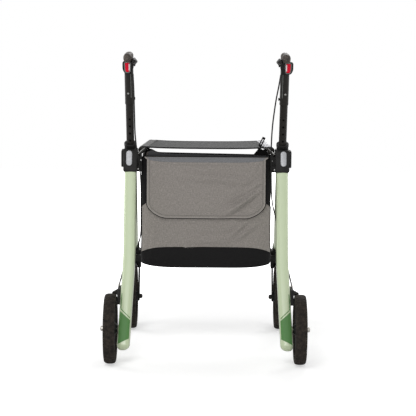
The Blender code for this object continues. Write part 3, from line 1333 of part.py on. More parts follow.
def add_bag():
    """Bag body, its black bottom, and the flap that hangs from the rear rim."""
    body = [bag_ring(BAG_SEAM_Z + GAP, BAG_HALF_WIDTH),
            bag_ring((BAG_SEAM_Z + BAG_TOP_Z) / 2, BAG_HALF_WIDTH),
            bag_ring(BAG_TOP_Z - BAG_EDGE, BAG_HALF_WIDTH, 0.0, BAG_TOP_RISE),
            bag_ring(BAG_TOP_Z, BAG_HALF_WIDTH, BAG_EDGE_INSET, BAG_TOP_RISE)]
    add_part("bag_body", loft(body), "grey_fabric")
    bottom = [bag_ring(BAG_LOW_Z, BAG_LOW_HALF_WIDTH, BAG_EDGE),
              bag_ring(BAG_LOW_Z + BAG_EDGE, BAG_LOW_HALF_WIDTH),
              bag_ring(BAG_SEAM_Z, BAG_HALF_WIDTH)]
    add_part("bag_bottom", loft(bottom), "black_fabric")
    top = BAG_TOP_Z - FLAP_TOP_DROP
    low_half = FLAP_HALF_WIDTH - FLAP_CORNER_WIDTH
    corner_z = FLAP_LOW_Z + FLAP_CORNER_HEIGHT
    outline = [(-FLAP_HALF_WIDTH, top), (-FLAP_HALF_WIDTH, corner_z), (-low_half, FLAP_LOW_Z),
               (low_half, FLAP_LOW_Z), (FLAP_HALF_WIDTH, corner_z), (FLAP_HALF_WIDTH, top)]
    back_face = BAG_BACK_Y - GAP
    hinge = add_pivot("bag_flap_pivot", Vector((0, back_face, top)))
    flap = prism(outline, Vector((0, back_face, 0)), X_AXIS, Z_AXIS, 0.0, FLAP_THICKNESS)
    add_part("bag_flap", flap, "grey_fabric", hinge)


def build():
    """Make every piece of the rollator."""
    clear_scene()
    layers = {"left": 1, "right": -1}
    rail_pivots = {}
    for name, side in SIDES.items():
        add_rear_leg(name, side)
        add_leg_panel(name, side)
        add_front_leg(name, side)
        add_joint_head(name, side)
        add_height_button(name, side)
        add_caster_head(name, side, layers[name])
        add_rear_wheel(name, side)
        add_caster(name, side)
        add_handle(name, side)
        add_brake_lever(name, side)
        add_brake(name, side)
        rail_pivots[name] = add_seat_rail(name, side, -layers[name])
    add_cable("left", -1, LEFT_CABLE_ROUTE)
    add_cable("right", 1, RIGHT_CABLE_ROUTE)
    add_brace()
    add_seat(rail_pivots["left"], rail_pivots["right"])
    add_bag()


build()
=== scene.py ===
"""The carbon rollator, dressed over its CAD frame.

Metres, +Z up, +Y forwards and +X to the user's right, who walks at -Y. Paired pieces are
worked out for the right side and mirrored for the left one.
"""
import logging
import math
from dataclasses import dataclass, field
from enum import Enum
from typing import Any, Sequence

import bmesh
import bpy
import numpy as np
from mathutils import Matrix


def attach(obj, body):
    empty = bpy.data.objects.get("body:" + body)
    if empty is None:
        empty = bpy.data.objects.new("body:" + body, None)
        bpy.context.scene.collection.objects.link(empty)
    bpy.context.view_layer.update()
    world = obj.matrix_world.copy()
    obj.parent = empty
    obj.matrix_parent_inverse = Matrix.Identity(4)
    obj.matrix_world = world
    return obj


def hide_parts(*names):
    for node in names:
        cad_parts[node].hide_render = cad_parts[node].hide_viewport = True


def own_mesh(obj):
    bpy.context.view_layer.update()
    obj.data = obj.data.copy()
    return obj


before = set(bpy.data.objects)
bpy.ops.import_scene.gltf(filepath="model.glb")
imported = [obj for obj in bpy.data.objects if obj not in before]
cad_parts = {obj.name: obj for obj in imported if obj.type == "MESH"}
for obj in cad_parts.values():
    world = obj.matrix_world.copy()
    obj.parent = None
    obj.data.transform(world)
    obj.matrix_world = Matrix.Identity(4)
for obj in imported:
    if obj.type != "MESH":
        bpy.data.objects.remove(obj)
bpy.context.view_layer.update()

LOG = logging.getLogger("rollator")
Array = np.ndarray
Colour = tuple[float, float, float]
Place = tuple[float, float, float]
Pair = tuple[float, float]
Object = bpy.types.Object
Socket = bpy.types.NodeSocket
X = np.array((1.0, 0.0, 0.0))
Y = np.array((0.0, 1.0, 0.0))
Z = np.array((0.0, 0.0, 1.0))
MM = 0.001
ORIGIN = np.zeros(3)
CREASE_ANGLE = 38.0


class Side(Enum):
    """The two sides, by the sign of their x."""

    LEFT = -1
    RIGHT = 1

    @property
    def word(self) -> str:
        """The side's name in lower case."""
        return self.name.lower()

    @property
    def layer(self) -> int:
        """Which side of the scissor plane the brace bar at this side's caster is on, by its normal."""
        return -self.value


@dataclass(frozen=True)
class Patch:
    """A grid of points, rows x columns x 3, with its end rows closed when caps is set."""

    points: Array
    caps: bool = False


# Curves and grids


def together(*coordinates: Array | float) -> Array:
    """Coordinates spread to one shape and joined along a last axis."""
    return np.stack(np.broadcast_arrays(*coordinates), -1)


def unit(vectors: Array) -> Array:
    """Each vector over its own length."""
    return vectors / np.linalg.norm(vectors, axis=-1, keepdims=True)


def ease(value: Array) -> Array:
    """Smooth step from 0 to 1: t squared times (3 - 2t), with t held between 0 and 1."""
    t = np.clip(value, 0.0, 1.0)
    return t * t * (3 - 2 * t)


def signed_power(value: Array, power: float) -> Array:
    """The value's sign times its size to that power."""
    return np.sign(value) * np.abs(value) ** power


def close(outline: Array) -> Array:
    """The outline with its first point again at its end."""
    return np.concatenate([outline, outline[:1]])


def superellipse(width: float, depth: float, power: float, count: int = 64) -> Array:
    """|2u/width|^power + |2v/depth|^power = 1, as count points."""
    angle = np.linspace(0, 2 * np.pi, count, endpoint=False)
    u = signed_power(np.cos(angle), 2 / power) * width / 2
    v = signed_power(np.sin(angle), 2 / power) * depth / 2
    return together(u, v)


def stadium(length: float, width: float, steps: int = 12) -> Array:
    """A slot outline: two half circles, one above the other, joined by straight sides."""
    angle = np.linspace(0, np.pi, steps)
    half = together(np.cos(angle), np.sin(angle)) * width / 2
    half[:, 1] += (length - width) / 2
    return np.concatenate([half, -half])


def rounded(corners: Sequence[Sequence[float]], radius: float, steps: int = 5) -> Array:
    """A polygon whose corners are quadratic curves.

    Args:
        corners: The corners in order.
        radius: How far from each corner its curve starts.
        steps: Points on each curve.

    Returns:
        (1-t)^2 before + 2t(1-t) corner + t^2 after, for every corner.
    """
    at = np.array(corners, float)
    before = at + unit(np.roll(at, 1, 0) - at) * radius
    after = at + unit(np.roll(at, -1, 0) - at) * radius
    t = np.linspace(0, 1, steps)[None, :, None]
    curve = before[:, None] * (1 - t) ** 2 + at[:, None] * 2 * t * (1 - t) + after[:, None] * t**2
    return curve.reshape(-1, at.shape[1])


def rectangle(across: Sequence[float], above: Sequence[float], radius: float, steps: int = 5) -> Array:
    """A rounded rectangle between two values across and two above."""
    (left, right), (low, high) = across, above
    return rounded([(left, low), (right, low), (right, high), (left, high)], radius, steps)


def smooth_path(knots: Sequence[Sequence[float]], spacing: float) -> Array:
    """Evenly spaced points on the Catmull-Rom curve through the knots.

    Args:
        knots: The points that the curve passes.
        spacing: The wanted distance between the points that come back.

    Returns:
        Points of half (2b + (c-a)t + (2a-5b+4c-d)t^2 + (3b-a-3c+d)t^3), respaced by length.
    """
    at = np.array(knots, float)
    at = np.concatenate([2 * at[:1] - at[1:2], at, 2 * at[-1:] - at[-2:-1]])
    a, b, c, d = (at[i:len(at) - 3 + i, None] for i in range(4))
    t = np.linspace(0, 1, 24, endpoint=False)[None, :, None]
    fine = 0.5 * (2 * b + (c - a) * t + (2 * a - 5 * b + 4 * c - d) * t**2
                  + (3 * b - a - 3 * c + d) * t**3)
    return respaced(np.concatenate([fine.reshape(-1, at.shape[1]), at[-2:-1]]), spacing)


def respaced(path: Array, spacing: float) -> Array:
    """The path's points moved to equal distances along it."""
    walked = np.concatenate([[0.0], np.cumsum(np.linalg.norm(np.diff(path, axis=0), axis=1))])
    count = max(2, round(walked[-1] / spacing) + 1)
    at = np.linspace(0, walked[-1], count)
    return np.stack([np.interp(at, walked, path[:, k]) for k in range(path.shape[1])], -1)


def sweep(path: Array, section: Array, up: Array, ring: bool = False) -> Array:
    """A section carried along a path.

    Args:
        path: Points, rows x 3.
        section: Closed outline, columns x 2, as (across, above).
        up: What above leans to; it isn't along the path.
        ring: Whether the path closes on its first point.

    Returns:
        path + across u + above v, where across is the path's direction times up.
    """
    if ring:
        path = np.concatenate([path[-1:], path, path[:2]])
    along = unit(np.gradient(path, axis=0))
    across = unit(np.cross(along, np.broadcast_to(up, along.shape)))
    above = np.cross(across, along)
    flat = close(section)[None]
    skin = path[:, None] + across[:, None] * flat[..., :1] + above[:, None] * flat[..., 1:]
    return skin[1:-1] if ring else skin


def lathe(profile: Sequence[Sequence[float]], origin: Array, axis: Array, steps: int = 48) -> Patch:
    """A profile of (radius, distance along the axis), turned once round the axis.

    Returns:
        origin + axis d + radius (first cos a + second sin a).
    """
    along = unit(np.array(axis, float))
    first = unit(np.cross(along, Y if abs(along[1]) < 0.7 else X))
    second = np.cross(along, first)
    angle = np.linspace(0, 2 * np.pi, steps + 1)[None, :, None]
    at = np.array(profile, float)
    turned = first * np.cos(angle) + second * np.sin(angle)
    return Patch(np.array(origin, float) + along * at[:, None, 1:] + turned * at[:, None, :1])


def prism(outline: Array, origin: Array, across: Array, above: Array, low: float, high: float,
          edge: float, steps: int = 4, along: Array | None = None) -> Patch:
    """An outline drawn out square to its plane, with rounded edges.

    Args:
        outline: Points (u, v), in either direction.
        origin: Where (0, 0) lies.
        across, above: The directions of u and v.
        low, high: Where the solid starts and ends along its own direction.
        edge: The edges' radius.
        steps: Rings on each edge.
        along: The direction that it is drawn out in, if it isn't across times above.

    Returns:
        Rings moved inwards by edge (1 - sin t) and along by edge (1 - cos t).
    """
    ahead = unit(np.roll(outline, -1, 0) - outline)
    side = together(ahead[:, 1], -ahead[:, 0])
    following = np.roll(outline, -1, 0)
    area = np.sum(outline[:, 0] * following[:, 1] - outline[:, 1] * following[:, 0])
    both = side + np.roll(side, 1, 0)
    outward = both * 2 / np.maximum(np.sum(both * both, -1, keepdims=True), 0.8) * np.sign(area)
    t = np.linspace(0, np.pi / 2, steps)
    inset = edge * np.concatenate([1 - np.sin(t), 1 - np.cos(t)])
    depth = np.concatenate([low + edge * (1 - np.cos(t)), high - edge * (1 - np.sin(t))])
    rings = close(outline)[None] - close(outward)[None] * inset[:, None, None]
    along = np.cross(across, above) if along is None else along
    flat = np.array(origin, float) + across * rings[..., :1] + above * rings[..., 1:]
    return Patch(flat + along * depth[:, None, None], True)


def plate(outline: Array, low: float, high: float, edge: float, centre: Sequence[float] = ORIGIN) -> Patch:
    """A prism whose outline is in y and z, drawn out along x."""
    return prism(outline, centre, Y, Z, low, high, edge)


def rod(start: Array, end: Array, radius: float, edge: float = 0.0, steps: int = 32) -> Patch:
    """A round bar between two points, with rounded ends when edge isn't 0."""
    start, end = np.array(start, float), np.array(end, float)
    length = float(np.linalg.norm(end - start))
    t = np.linspace(0, np.pi / 2, 5 if edge else 1)
    low = together(radius - edge * (1 - np.sin(t)), edge * (1 - np.cos(t)))
    high = together(low[::-1, 0], length - low[::-1, 1])
    profile = np.concatenate([[[0, 0]], low, high, [[0, length]]])
    return lathe(profile, start, end - start, steps)


def strand(path: Array, width: float, height: float, power: float, steps: int, up: Array = Y) -> Patch:
    """A superellipse carried along a path, with closed ends."""
    return Patch(sweep(path, superellipse(width, height, power, steps), up), True)


def dome(centre: Array, axis: Array, radius: float, height: float, socket: float = 0.0) -> Patch:
    """A screw's or nut's domed head, with an optional round recess of radius socket."""
    t = np.linspace(0, np.pi / 2, 6)
    crown = together(radius * (0.45 + 0.55 * np.cos(t)), height * (0.35 + 0.65 * np.sin(t)))
    recess = [[socket, height], [socket, height * 0.4]] if socket else []
    return lathe([[0, 0], [radius, 0], *crown, *recess, [0, recess[-1][1] if socket else height]],
                 centre, axis, 24)


# Meshes


def length_uv(points: Array) -> Array:
    """A patch's own metres: the mean length walked along its columns and its rows."""
    across = np.linalg.norm(np.diff(points, axis=1), axis=-1).mean(0)
    along = np.linalg.norm(np.diff(points, axis=0), axis=-1).mean(1)
    u = np.concatenate([[0.0], np.cumsum(across)])
    v = np.concatenate([[0.0], np.cumsum(along)])
    return together(u[None], v[:, None])


def mesh_object(name: str, patches: Sequence[Patch], mirror: int = 1) -> Object:
    """One object from grids of points, each grid's quads worked out as one array.

    Args:
        name: The object's name.
        patches: The grids.
        mirror: -1 to mirror the shape in x.

    Returns:
        An object at the origin with its doubles merged and its faces outwards.
    """
    points, uvs, faces, start = [], [], [], 0
    for patch in patches:
        rows, columns = patch.points.shape[:2]
        index = start + np.arange(rows * columns).reshape(rows, columns)
        quads = together(index[:-1, :-1], index[:-1, 1:], index[1:, 1:], index[1:, :-1])
        faces += quads.reshape(-1, 4).tolist()
        if patch.caps:
            faces += [index[0, :-1].tolist(), index[-1, :-1].tolist()]
        points.append(patch.points.reshape(-1, 3) * (mirror, 1, 1))
        uvs.append(length_uv(patch.points).reshape(-1, 2))
        start += rows * columns
    mesh = bpy.data.meshes.new(name)
    mesh.from_pydata(np.concatenate(points).tolist(), [], faces)
    corner = np.empty(len(mesh.loops), np.int32)
    mesh.loops.foreach_get("vertex_index", corner)
    mesh.uv_layers.new(name="UVMap").data.foreach_set("uv", np.concatenate(uvs)[corner].ravel())
    work = bmesh.new()
    work.from_mesh(mesh)
    bmesh.ops.remove_doubles(work, verts=work.verts, dist=1e-6)
    bmesh.ops.recalc_face_normals(work, faces=work.faces)
    work.to_mesh(mesh)
    work.free()
    made = bpy.data.objects.new(name, mesh)
    bpy.context.scene.collection.objects.link(made)
    return made


def settle(made: Object) -> None:
    """Apply the object's modifiers to its mesh."""
    graph = bpy.context.evaluated_depsgraph_get()
    mesh = bpy.data.meshes.new_from_object(made.evaluated_get(graph))
    made.modifiers.clear()
    made.data = mesh


def combine(made: Object, others: Sequence[Patch], operation: str, mirror: int) -> None:
    """Join each closed patch to the object, or cut it away.

    Args:
        made: The object that changes.
        others: Closed patches, one tool each.
        operation: UNION or DIFFERENCE.
        mirror: -1 to mirror the tools in x.
    """
    for other in others:
        tool = mesh_object("tool", [other], mirror)
        modifier = made.modifiers.new("tool", "BOOLEAN")
        modifier.object = tool
        modifier.operation = operation
        settle(made)
        bpy.data.objects.remove(tool)


def thicken(made: Object, thickness: float) -> None:
    """Give a sheet its thickness, about its middle."""
    modifier = made.modifiers.new("thickness", "SOLIDIFY")
    modifier.thickness = thickness
    modifier.offset = 0.0
    settle(made)


# Finishes


class Graph:
    """A material's node tree, with short calls for the nodes that the finishes use."""

    def __init__(self, name: str) -> None:
        """Start a material with its Principled shader."""
        self.material = bpy.data.materials.new(name)
        self.material.use_nodes = True
        self.tree = self.material.node_tree
        self.shader = self.tree.nodes["Principled BSDF"]

    def add(self, kind: str, sockets: dict[Any, Any], **settings: Any) -> bpy.types.Node:
        """A new node.

        Args:
            kind: Its type.
            sockets: Input name or number to a value, or to the output that feeds it.
            settings: The node's own properties.

        Returns:
            The node.
        """
        node = self.tree.nodes.new(kind)
        for key, value in settings.items():
            setattr(node, key, value)
        for key, value in sockets.items():
            if isinstance(value, Socket):
                self.tree.links.new(value, node.inputs[key])
            else:
                node.inputs[key].default_value = value
        return node

    def place(self, uv: bool = False, stretch: Sequence[float] = (1, 1, 1)) -> Socket:
        """Object coordinates, or the piece's UV map in metres, stretched."""
        source = self.add("ShaderNodeTexCoord", {}).outputs["UV" if uv else "Object"]
        return self.add("ShaderNodeMapping", {"Vector": source, "Scale": tuple(stretch)}).outputs[0]

    def noise(self, place: Socket, scale: float, detail: float = 3.0) -> Socket:
        """A cloudy value from 0 to 1."""
        sockets = {"Vector": place, "Scale": scale, "Detail": detail}
        return self.add("ShaderNodeTexNoise", sockets).outputs["Fac"]

    def wave(self, place: Socket, pitch: float, axis: str) -> Socket:
        """Sine bands along one axis, one for each pitch."""
        sockets = {"Vector": place, "Scale": 2 * math.pi / (20 * pitch), "Distortion": 0.0}
        return self.add("ShaderNodeTexWave", sockets, bands_direction=axis).outputs["Fac"]

    def cells(self, place: Socket, size: float) -> Socket:
        """The distance from the nearest middle of cells of that many metres."""
        sockets = {"Vector": place, "Scale": 1 / size}
        return self.add("ShaderNodeTexVoronoi", sockets).outputs["Distance"]

    def math(self, operation: str, first: Any, second: Any) -> Socket:
        """Two values combined."""
        return self.add("ShaderNodeMath", {0: first, 1: second}, operation=operation).outputs[0]

    def fade(self, value: Socket, low: float, high: float, start: float = 0.0,
             end: float = 1.0) -> Socket:
        """The value's stretch from low to high, spread from start to end."""
        sockets = {"Value": value, "From Min": low, "From Max": high, "To Min": start, "To Max": end}
        return self.add("ShaderNodeMapRange", sockets).outputs[0]

    def mix(self, value: Socket, first: Any, second: Any) -> Socket:
        """From the first colour to the second as the value goes from 0 to 1."""
        node = self.add("ShaderNodeMix", {"Factor": value}, data_type="RGBA")
        for socket, colour in ((node.inputs[6], first), (node.inputs[7], second)):
            if isinstance(colour, Socket):
                self.tree.links.new(colour, socket)
            else:
                socket.default_value = (*colour, 1)
        return node.outputs[2]

    def bump(self, height: Socket, strength: float, distance: float) -> None:
        """Feed the shader's normal with a relief of that real depth, over what it has."""
        sockets = {"Height": height, "Strength": strength, "Distance": distance}
        if self.shader.inputs["Normal"].links:
            sockets["Normal"] = self.shader.inputs["Normal"].links[0].from_socket
        node = self.add("ShaderNodeBump", sockets)
        self.tree.links.new(node.outputs[0], self.shader.inputs["Normal"])

    def feed(self, name: str, socket: Socket) -> None:
        """Drive one of the shader's inputs."""
        self.tree.links.new(socket, self.shader.inputs[name])

    def tint(self, value: Socket, first: Any, second: Any) -> None:
        """Drive the base colour from the first colour to the second."""
        self.feed("Base Color", self.mix(value, first, second))

    def set(self, **values: float) -> None:
        """Set the shader's own sockets; an underscore in a name stands for a space."""
        for name, value in values.items():
            self.shader.inputs[name.replace("_", " ")].default_value = value


def tone(colour: Colour, factor: float) -> Colour:
    """The colour, lighter or darker."""
    return tuple(min(1.0, c * factor) for c in colour)


@dataclass(frozen=True)
class Finish:
    """What every finish has: its name, the record's slot, a colour and a roughness."""

    name: str
    slot: str
    colour: Colour
    roughness: float
    shine: float = field(default=0.5, kw_only=True)

    def dress(self, graph: Graph) -> None:
        """Add the finish's nodes; each kind has its own."""
        raise NotImplementedError

    def vary(self, graph: Graph, value: Socket, span: Pair, change: Pair) -> None:
        """Change the roughness by the first of change to the second as the value goes over span."""
        ends = (self.roughness + step for step in change)
        graph.feed("Roughness", graph.fade(value, *span, *ends))

    def material(self) -> bpy.types.Material:
        """The finished material."""
        graph = Graph(self.name)
        graph.set(Roughness=self.roughness, Specular_IOR_Level=self.shine)
        graph.shader.inputs["Base Color"].default_value = (*self.colour, 1)
        graph.material.diffuse_color = (*self.colour, 1)
        self.dress(graph)
        return graph.material


@dataclass(frozen=True)
class SatinPaint(Finish):
    """Sprayed lacquer: slight clouding, orange peel and a thin clear coat."""

    coat: float = 0.25

    def dress(self, graph: Graph) -> None:
        """Clouds of 3 per cent, a peel of a few microns, coat on its own sockets."""
        place = graph.place()
        clouds = graph.noise(place, 14)
        graph.tint(clouds, tone(self.colour, 0.97), tone(self.colour, 1.03))
        speck = graph.noise(place, 700, 2)
        self.vary(graph, speck, (0.3, 0.7), (-0.04, 0.05))
        graph.bump(graph.noise(place, 420, 1), 0.10, 0.00012)
        graph.set(Coat_Weight=self.coat, Coat_Roughness=0.16)


@dataclass(frozen=True)
class Moulded(Finish):
    """Moulded plastic: a fine leather-like grain with rubbed, shinier patches."""

    grain: float = 0.7

    def dress(self, graph: Graph) -> None:
        """Grain by cells of grain millimetres, rubbing by large clouds."""
        place = graph.place()
        rub = graph.noise(place, 34)
        self.vary(graph, rub, (0.35, 0.7), (0.08, -0.10))
        dust = graph.noise(place, 260, 4)
        graph.tint(graph.fade(dust, 0.5, 0.8), self.colour, tone(self.colour, 1.9))
        graph.bump(graph.cells(place, self.grain * MM), 0.16, 0.00012)


@dataclass(frozen=True)
class DrawnTube(Finish):
    """Black anodised tube: fine lines along it and faint wear where it slides."""

    stretch: tuple[float, float, float] = (1, 1, 0.03)
    metallic: float = 0.55

    def dress(self, graph: Graph) -> None:
        """Long noise for the drawn lines, over roughness, colour and relief."""
        lines = graph.noise(graph.place(stretch=self.stretch), 1500, 2)
        self.vary(graph, lines, (0.3, 0.7), (-0.07, 0.10))
        scuff = graph.fade(graph.noise(graph.place(), 90, 5), 0.60, 0.85)
        graph.tint(scuff, self.colour, tone(self.colour, 2.4))
        graph.bump(lines, 0.12, 0.00006)
        graph.set(Metallic=self.metallic)


@dataclass(frozen=True)
class BareMetal(Finish):
    """Steel or plated metal with short random scratches."""

    def dress(self, graph: Graph) -> None:
        """Scratches by stretched noise in two directions."""
        one = graph.noise(graph.place(stretch=(1, 0.06, 1)), 1400, 2)
        two = graph.noise(graph.place(stretch=(0.06, 1, 1)), 1100, 2)
        both = graph.math("MULTIPLY", one, two)
        self.vary(graph, both, (0.15, 0.4), (-0.06, 0.14))
        graph.tint(graph.noise(graph.place(), 160, 4), self.colour, tone(self.colour, 0.72))
        graph.bump(both, 0.08, 0.00005)
        graph.set(Metallic=1.0)


@dataclass(frozen=True)
class Rubber(Finish):
    """Rubber with a dusty, mottled surface and a pebbled relief."""

    dust: Colour = (0.06, 0.045, 0.035)
    pebble: float = 0.8

    def dress(self, graph: Graph) -> None:
        """Two sizes of clouds mix in the dust; cells of pebble millimetres make the relief."""
        place = graph.place()
        clouds = graph.math("MULTIPLY", graph.noise(place, 95, 4), graph.noise(place, 420, 3))
        graph.tint(graph.fade(clouds, 0.16, 0.40), self.colour, self.dust)
        self.vary(graph, clouds, (0.1, 0.5), (-0.12, 0.1))
        graph.bump(graph.cells(place, self.pebble * MM), 0.35, 0.0003)


@dataclass(frozen=True)
class Lens(Finish):
    """A clear red reflector over a field of small prisms."""

    prism: float = 1.6

    def dress(self, graph: Graph) -> None:
        """Prisms as cells whose colour and tilt differ; the clear front is the coat."""
        cells = graph.cells(graph.place(), self.prism * MM)
        graph.tint(cells, tone(self.colour, 1.08), tone(self.colour, 0.85))
        graph.bump(cells, 0.10, 0.0002)
        graph.set(Coat_Weight=0.12, Coat_Roughness=0.04)


class Cloth(Enum):
    """How a cloth is made."""

    MELANGE = "melange"
    PLAIN = "plain"
    MESH = "mesh"


@dataclass(frozen=True)
class Woven(Finish):
    """Cloth on the piece's UV map, which is in metres."""

    cloth: Cloth = Cloth.PLAIN
    pitch: float = 1.1
    contrast: float = 0.25
    sheen: float = 0.15

    def dress(self, graph: Graph) -> None:
        """Warp and weft as crossed sine bands, broken by slub noise along each thread."""
        place = graph.place(uv=True)
        pitch = self.pitch * MM
        warp = graph.wave(place, pitch, "X")
        weft = graph.wave(place, pitch, "Y")
        threads = graph.math("MULTIPLY", warp, weft)
        slub = graph.noise(graph.place(True, (1, 0.10, 1)), 1 / pitch, 2)
        cross = graph.noise(graph.place(True, (0.10, 1, 1)), 1 / pitch, 2)
        fleck = graph.noise(place, 0.33 / pitch, 3)
        light = tone(self.colour, 1 + self.contrast)
        dark = tone(self.colour, 1 - self.contrast)
        if self.cloth is Cloth.MESH:
            graph.tint(graph.fade(threads, 0.25, 0.55), light, dark)
        else:
            body = graph.mix(graph.fade(slub, 0.3, 0.7), dark, light)
            body = graph.mix(graph.fade(cross, 0.35, 0.75, 0.0, 0.8), body, dark)
            shade = graph.mix(graph.fade(fleck, 0.35, 0.65), tone(self.colour, 1 - self.contrast * 0.7),
                              tone(self.colour, 1 + self.contrast * 0.7))
            weight = 0.45 if self.cloth is Cloth.MELANGE else 0.7
            node = graph.add("ShaderNodeMix", {"Factor": weight, 6: body, 7: shade}, data_type="RGBA")
            graph.feed("Base Color", node.outputs[2])
        graph.bump(threads, 0.55, pitch * 0.25)
        graph.bump(slub, 0.3, pitch * 0.2)
        graph.set(Sheen_Weight=self.sheen, Sheen_Roughness=0.6)


CARBON = SatinPaint("sage_lacquer", "carbon_green", (0.541, 0.628, 0.419), 0.30)
PANEL = SatinPaint("leaf_lacquer", "panel_green", (0.066, 0.192, 0.046), 0.60, 0.03)
PLASTIC = Moulded("black_moulding", "black_plastic", (0.0085, 0.0082, 0.0078), 0.58, shine=0.17)
RIM = Moulded("black_rim", "rim", (0.009, 0.009, 0.009), 0.55, 0.9, shine=0.2)
TUBE = DrawnTube("black_tube", "black_metal", (0.0195, 0.0178, 0.0158), 0.45, shine=0.26)
# Grey moulding for the lens bezel; also the painted highlight line down each handle sleeve.
BEZEL_AND_HIGHLIGHT = Moulded("grey_moulding", "black_plastic", (0.130, 0.136, 0.128), 0.42, shine=0.4)
# Pale pinkish strip beside each red lens: a painted highlight on the lens edge.
GLINT = Moulded("pale_edge", "reflector", (0.80, 0.68, 0.71), 0.35)
# Near-black lining tube inside the holed tube: painted shade that darkens the holes.
HOLE_SHADE = Moulded("liner_moulding", "black_plastic", (0.0015, 0.0015, 0.0015), 0.8, shine=0.05)
TYRE = Rubber("tyre_rubber", "tyre", (0.0115, 0.0100, 0.0088), 0.82, (0.047, 0.038, 0.031), shine=0.12)
GRIP = Rubber("grip_rubber", "grip", (0.022, 0.019, 0.0165), 0.66, (0.118, 0.097, 0.081), 0.9, shine=0.28)
STEEL = BareMetal("plain_steel", "steel", (0.50, 0.48, 0.45), 0.34)
# Dull steel for the screws; also the painted highlight along the top of each rail tip.
DULL_STEEL_AND_HIGHLIGHT = BareMetal("dull_steel", "steel", (0.36, 0.36, 0.35), 0.45)
SILVER = BareMetal("satin_silver", "button", (0.315, 0.32, 0.33), 0.50)
LENS = Lens("red_lens", "reflector", (0.76, 0.002, 0.028), 0.25, shine=0.1)
GREY_CLOTH = Woven("grey_melange", "grey_fabric", (0.285, 0.262, 0.242), 0.92, Cloth.MELANGE, 1.2, 0.36,
                   0.10, shine=0.1)
# A lighter copy of the grey melange for the flap's rolled edge: painted highlight where the edge catches
# light.
LIT_FOLD_CLOTH = Woven("folded_edge", "grey_fabric", (0.350, 0.325, 0.302), 0.90, Cloth.MELANGE, 1.0, 0.25,
                   0.1, shine=0.1)
# Black weave for the gussets, base, bindings, piping, straps and tab; also the painted shadow strip under
# the flap's edge.
BLACK_CLOTH_AND_SHADE = Woven("black_weave", "black_fabric", (0.0100, 0.0096, 0.0100), 0.80, Cloth.PLAIN, 0.9,
                    0.30, 0.0, shine=0.12)
# Bluish grey strip across the flap's top: painted shade under the seat's front edge.
SHADE_BAND_CLOTH = Woven("band_weave", "black_fabric", (0.190, 0.193, 0.201), 0.75, Cloth.PLAIN, 0.9, 0.40,
                   0.0, shine=0.2)
LINING = Woven("bag_lining", "black_fabric", (0.140, 0.141, 0.147), 0.60, Cloth.PLAIN, 0.9, 0.20, 0.0,
               shine=0.3)
SEAT_CLOTH = Woven("seat_mesh", "seat_mesh", (0.016, 0.0163, 0.016), 0.75, Cloth.MESH, 2.0, 0.55, 0.10,
                   shine=0.2)
# Hem cloth round the rails, lighter than the black sling: partly its own grey, partly painted sheen; the
# right hem gets a far paler copy than the left.
HEM_SHEEN_CLOTH = Woven("melange_hem", "seat_mesh", (0.092, 0.090, 0.087), 0.70, Cloth.MELANGE, 1.0, 0.40,
                  0.20, shine=0.2)
PALE_HEM_SHEEN_CLOTH = Woven("pale_hem", "seat_mesh", (0.42, 0.415, 0.445), 0.40, Cloth.PLAIN, 1.0, 0.22, 0.30)
THREAD = Woven("grey_thread", "grey_fabric", (0.110, 0.101, 0.094), 0.85, Cloth.PLAIN, 0.5, 0.2)


# The workbench


class Bench:
    """Makes the pieces, gives each its finish and its body, and reports it."""

    def __init__(self) -> None:
        """Start with no materials and no pieces."""
        self.materials: dict[str, bpy.types.Material] = {}
        self.count = 0

    def paint(self, made: Object, finish: Finish) -> None:
        """Give an object one finish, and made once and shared."""
        if finish.name not in self.materials:
            self.materials[finish.name] = finish.material()
        made.data.materials.clear()
        made.data.materials.append(self.materials[finish.name])

    def piece(self, name: str, patches: Sequence[Patch], finish: Finish, body: str,
              nodes: Sequence[str] = (), side: Side | None = None, joins: Sequence[Patch] = (),
              cuts: Sequence[Patch] = (), thick: float = 0.0,
              smooth: float = CREASE_ANGLE) -> Object:
        """Make one piece of the object.

        Args:
            name: Its name, without its side.
            patches: Its surfaces, for the right side.
            finish: Its finish.
            body: The body that it rides on, without its side where a side is given.
            nodes: The CAD nodes that it stands for, without their side.
            side: Its side; the left one is mirrored.
            joins, cuts: Closed patches joined to it and then cut away from it.
            thick: A sheet's thickness.
            smooth: Edges sharper than this many degrees stay sharp.

        Returns:
            The finished piece.
        """
        mirror = side.value if side else 1
        ending = "_" + side.word if side else ""
        made = mesh_object(name + ending, patches, mirror)
        combine(made, joins, "UNION", mirror)
        combine(made, cuts, "DIFFERENCE", mirror)
        if thick:
            thicken(made, thick)
        made.data.shade_smooth()
        made.data.set_sharp_from_angle(angle=math.radians(smooth))
        self.paint(made, finish)
        body = body_of(body, side)
        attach(made, body)
        if nodes:
            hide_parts(*(node + ending for node in nodes))
        self.count += 1
        LOG.info("%s: %s on %s, %d faces", made.name, finish.name, body, len(made.data.polygons))
        return made


def body_of(kind: str, side: Side | None) -> str:
    """The CAD body of a kind on a side."""
    if side is None:
        return kind
    return side.word + "_frame" if kind == "frame" else kind + "_" + side.word


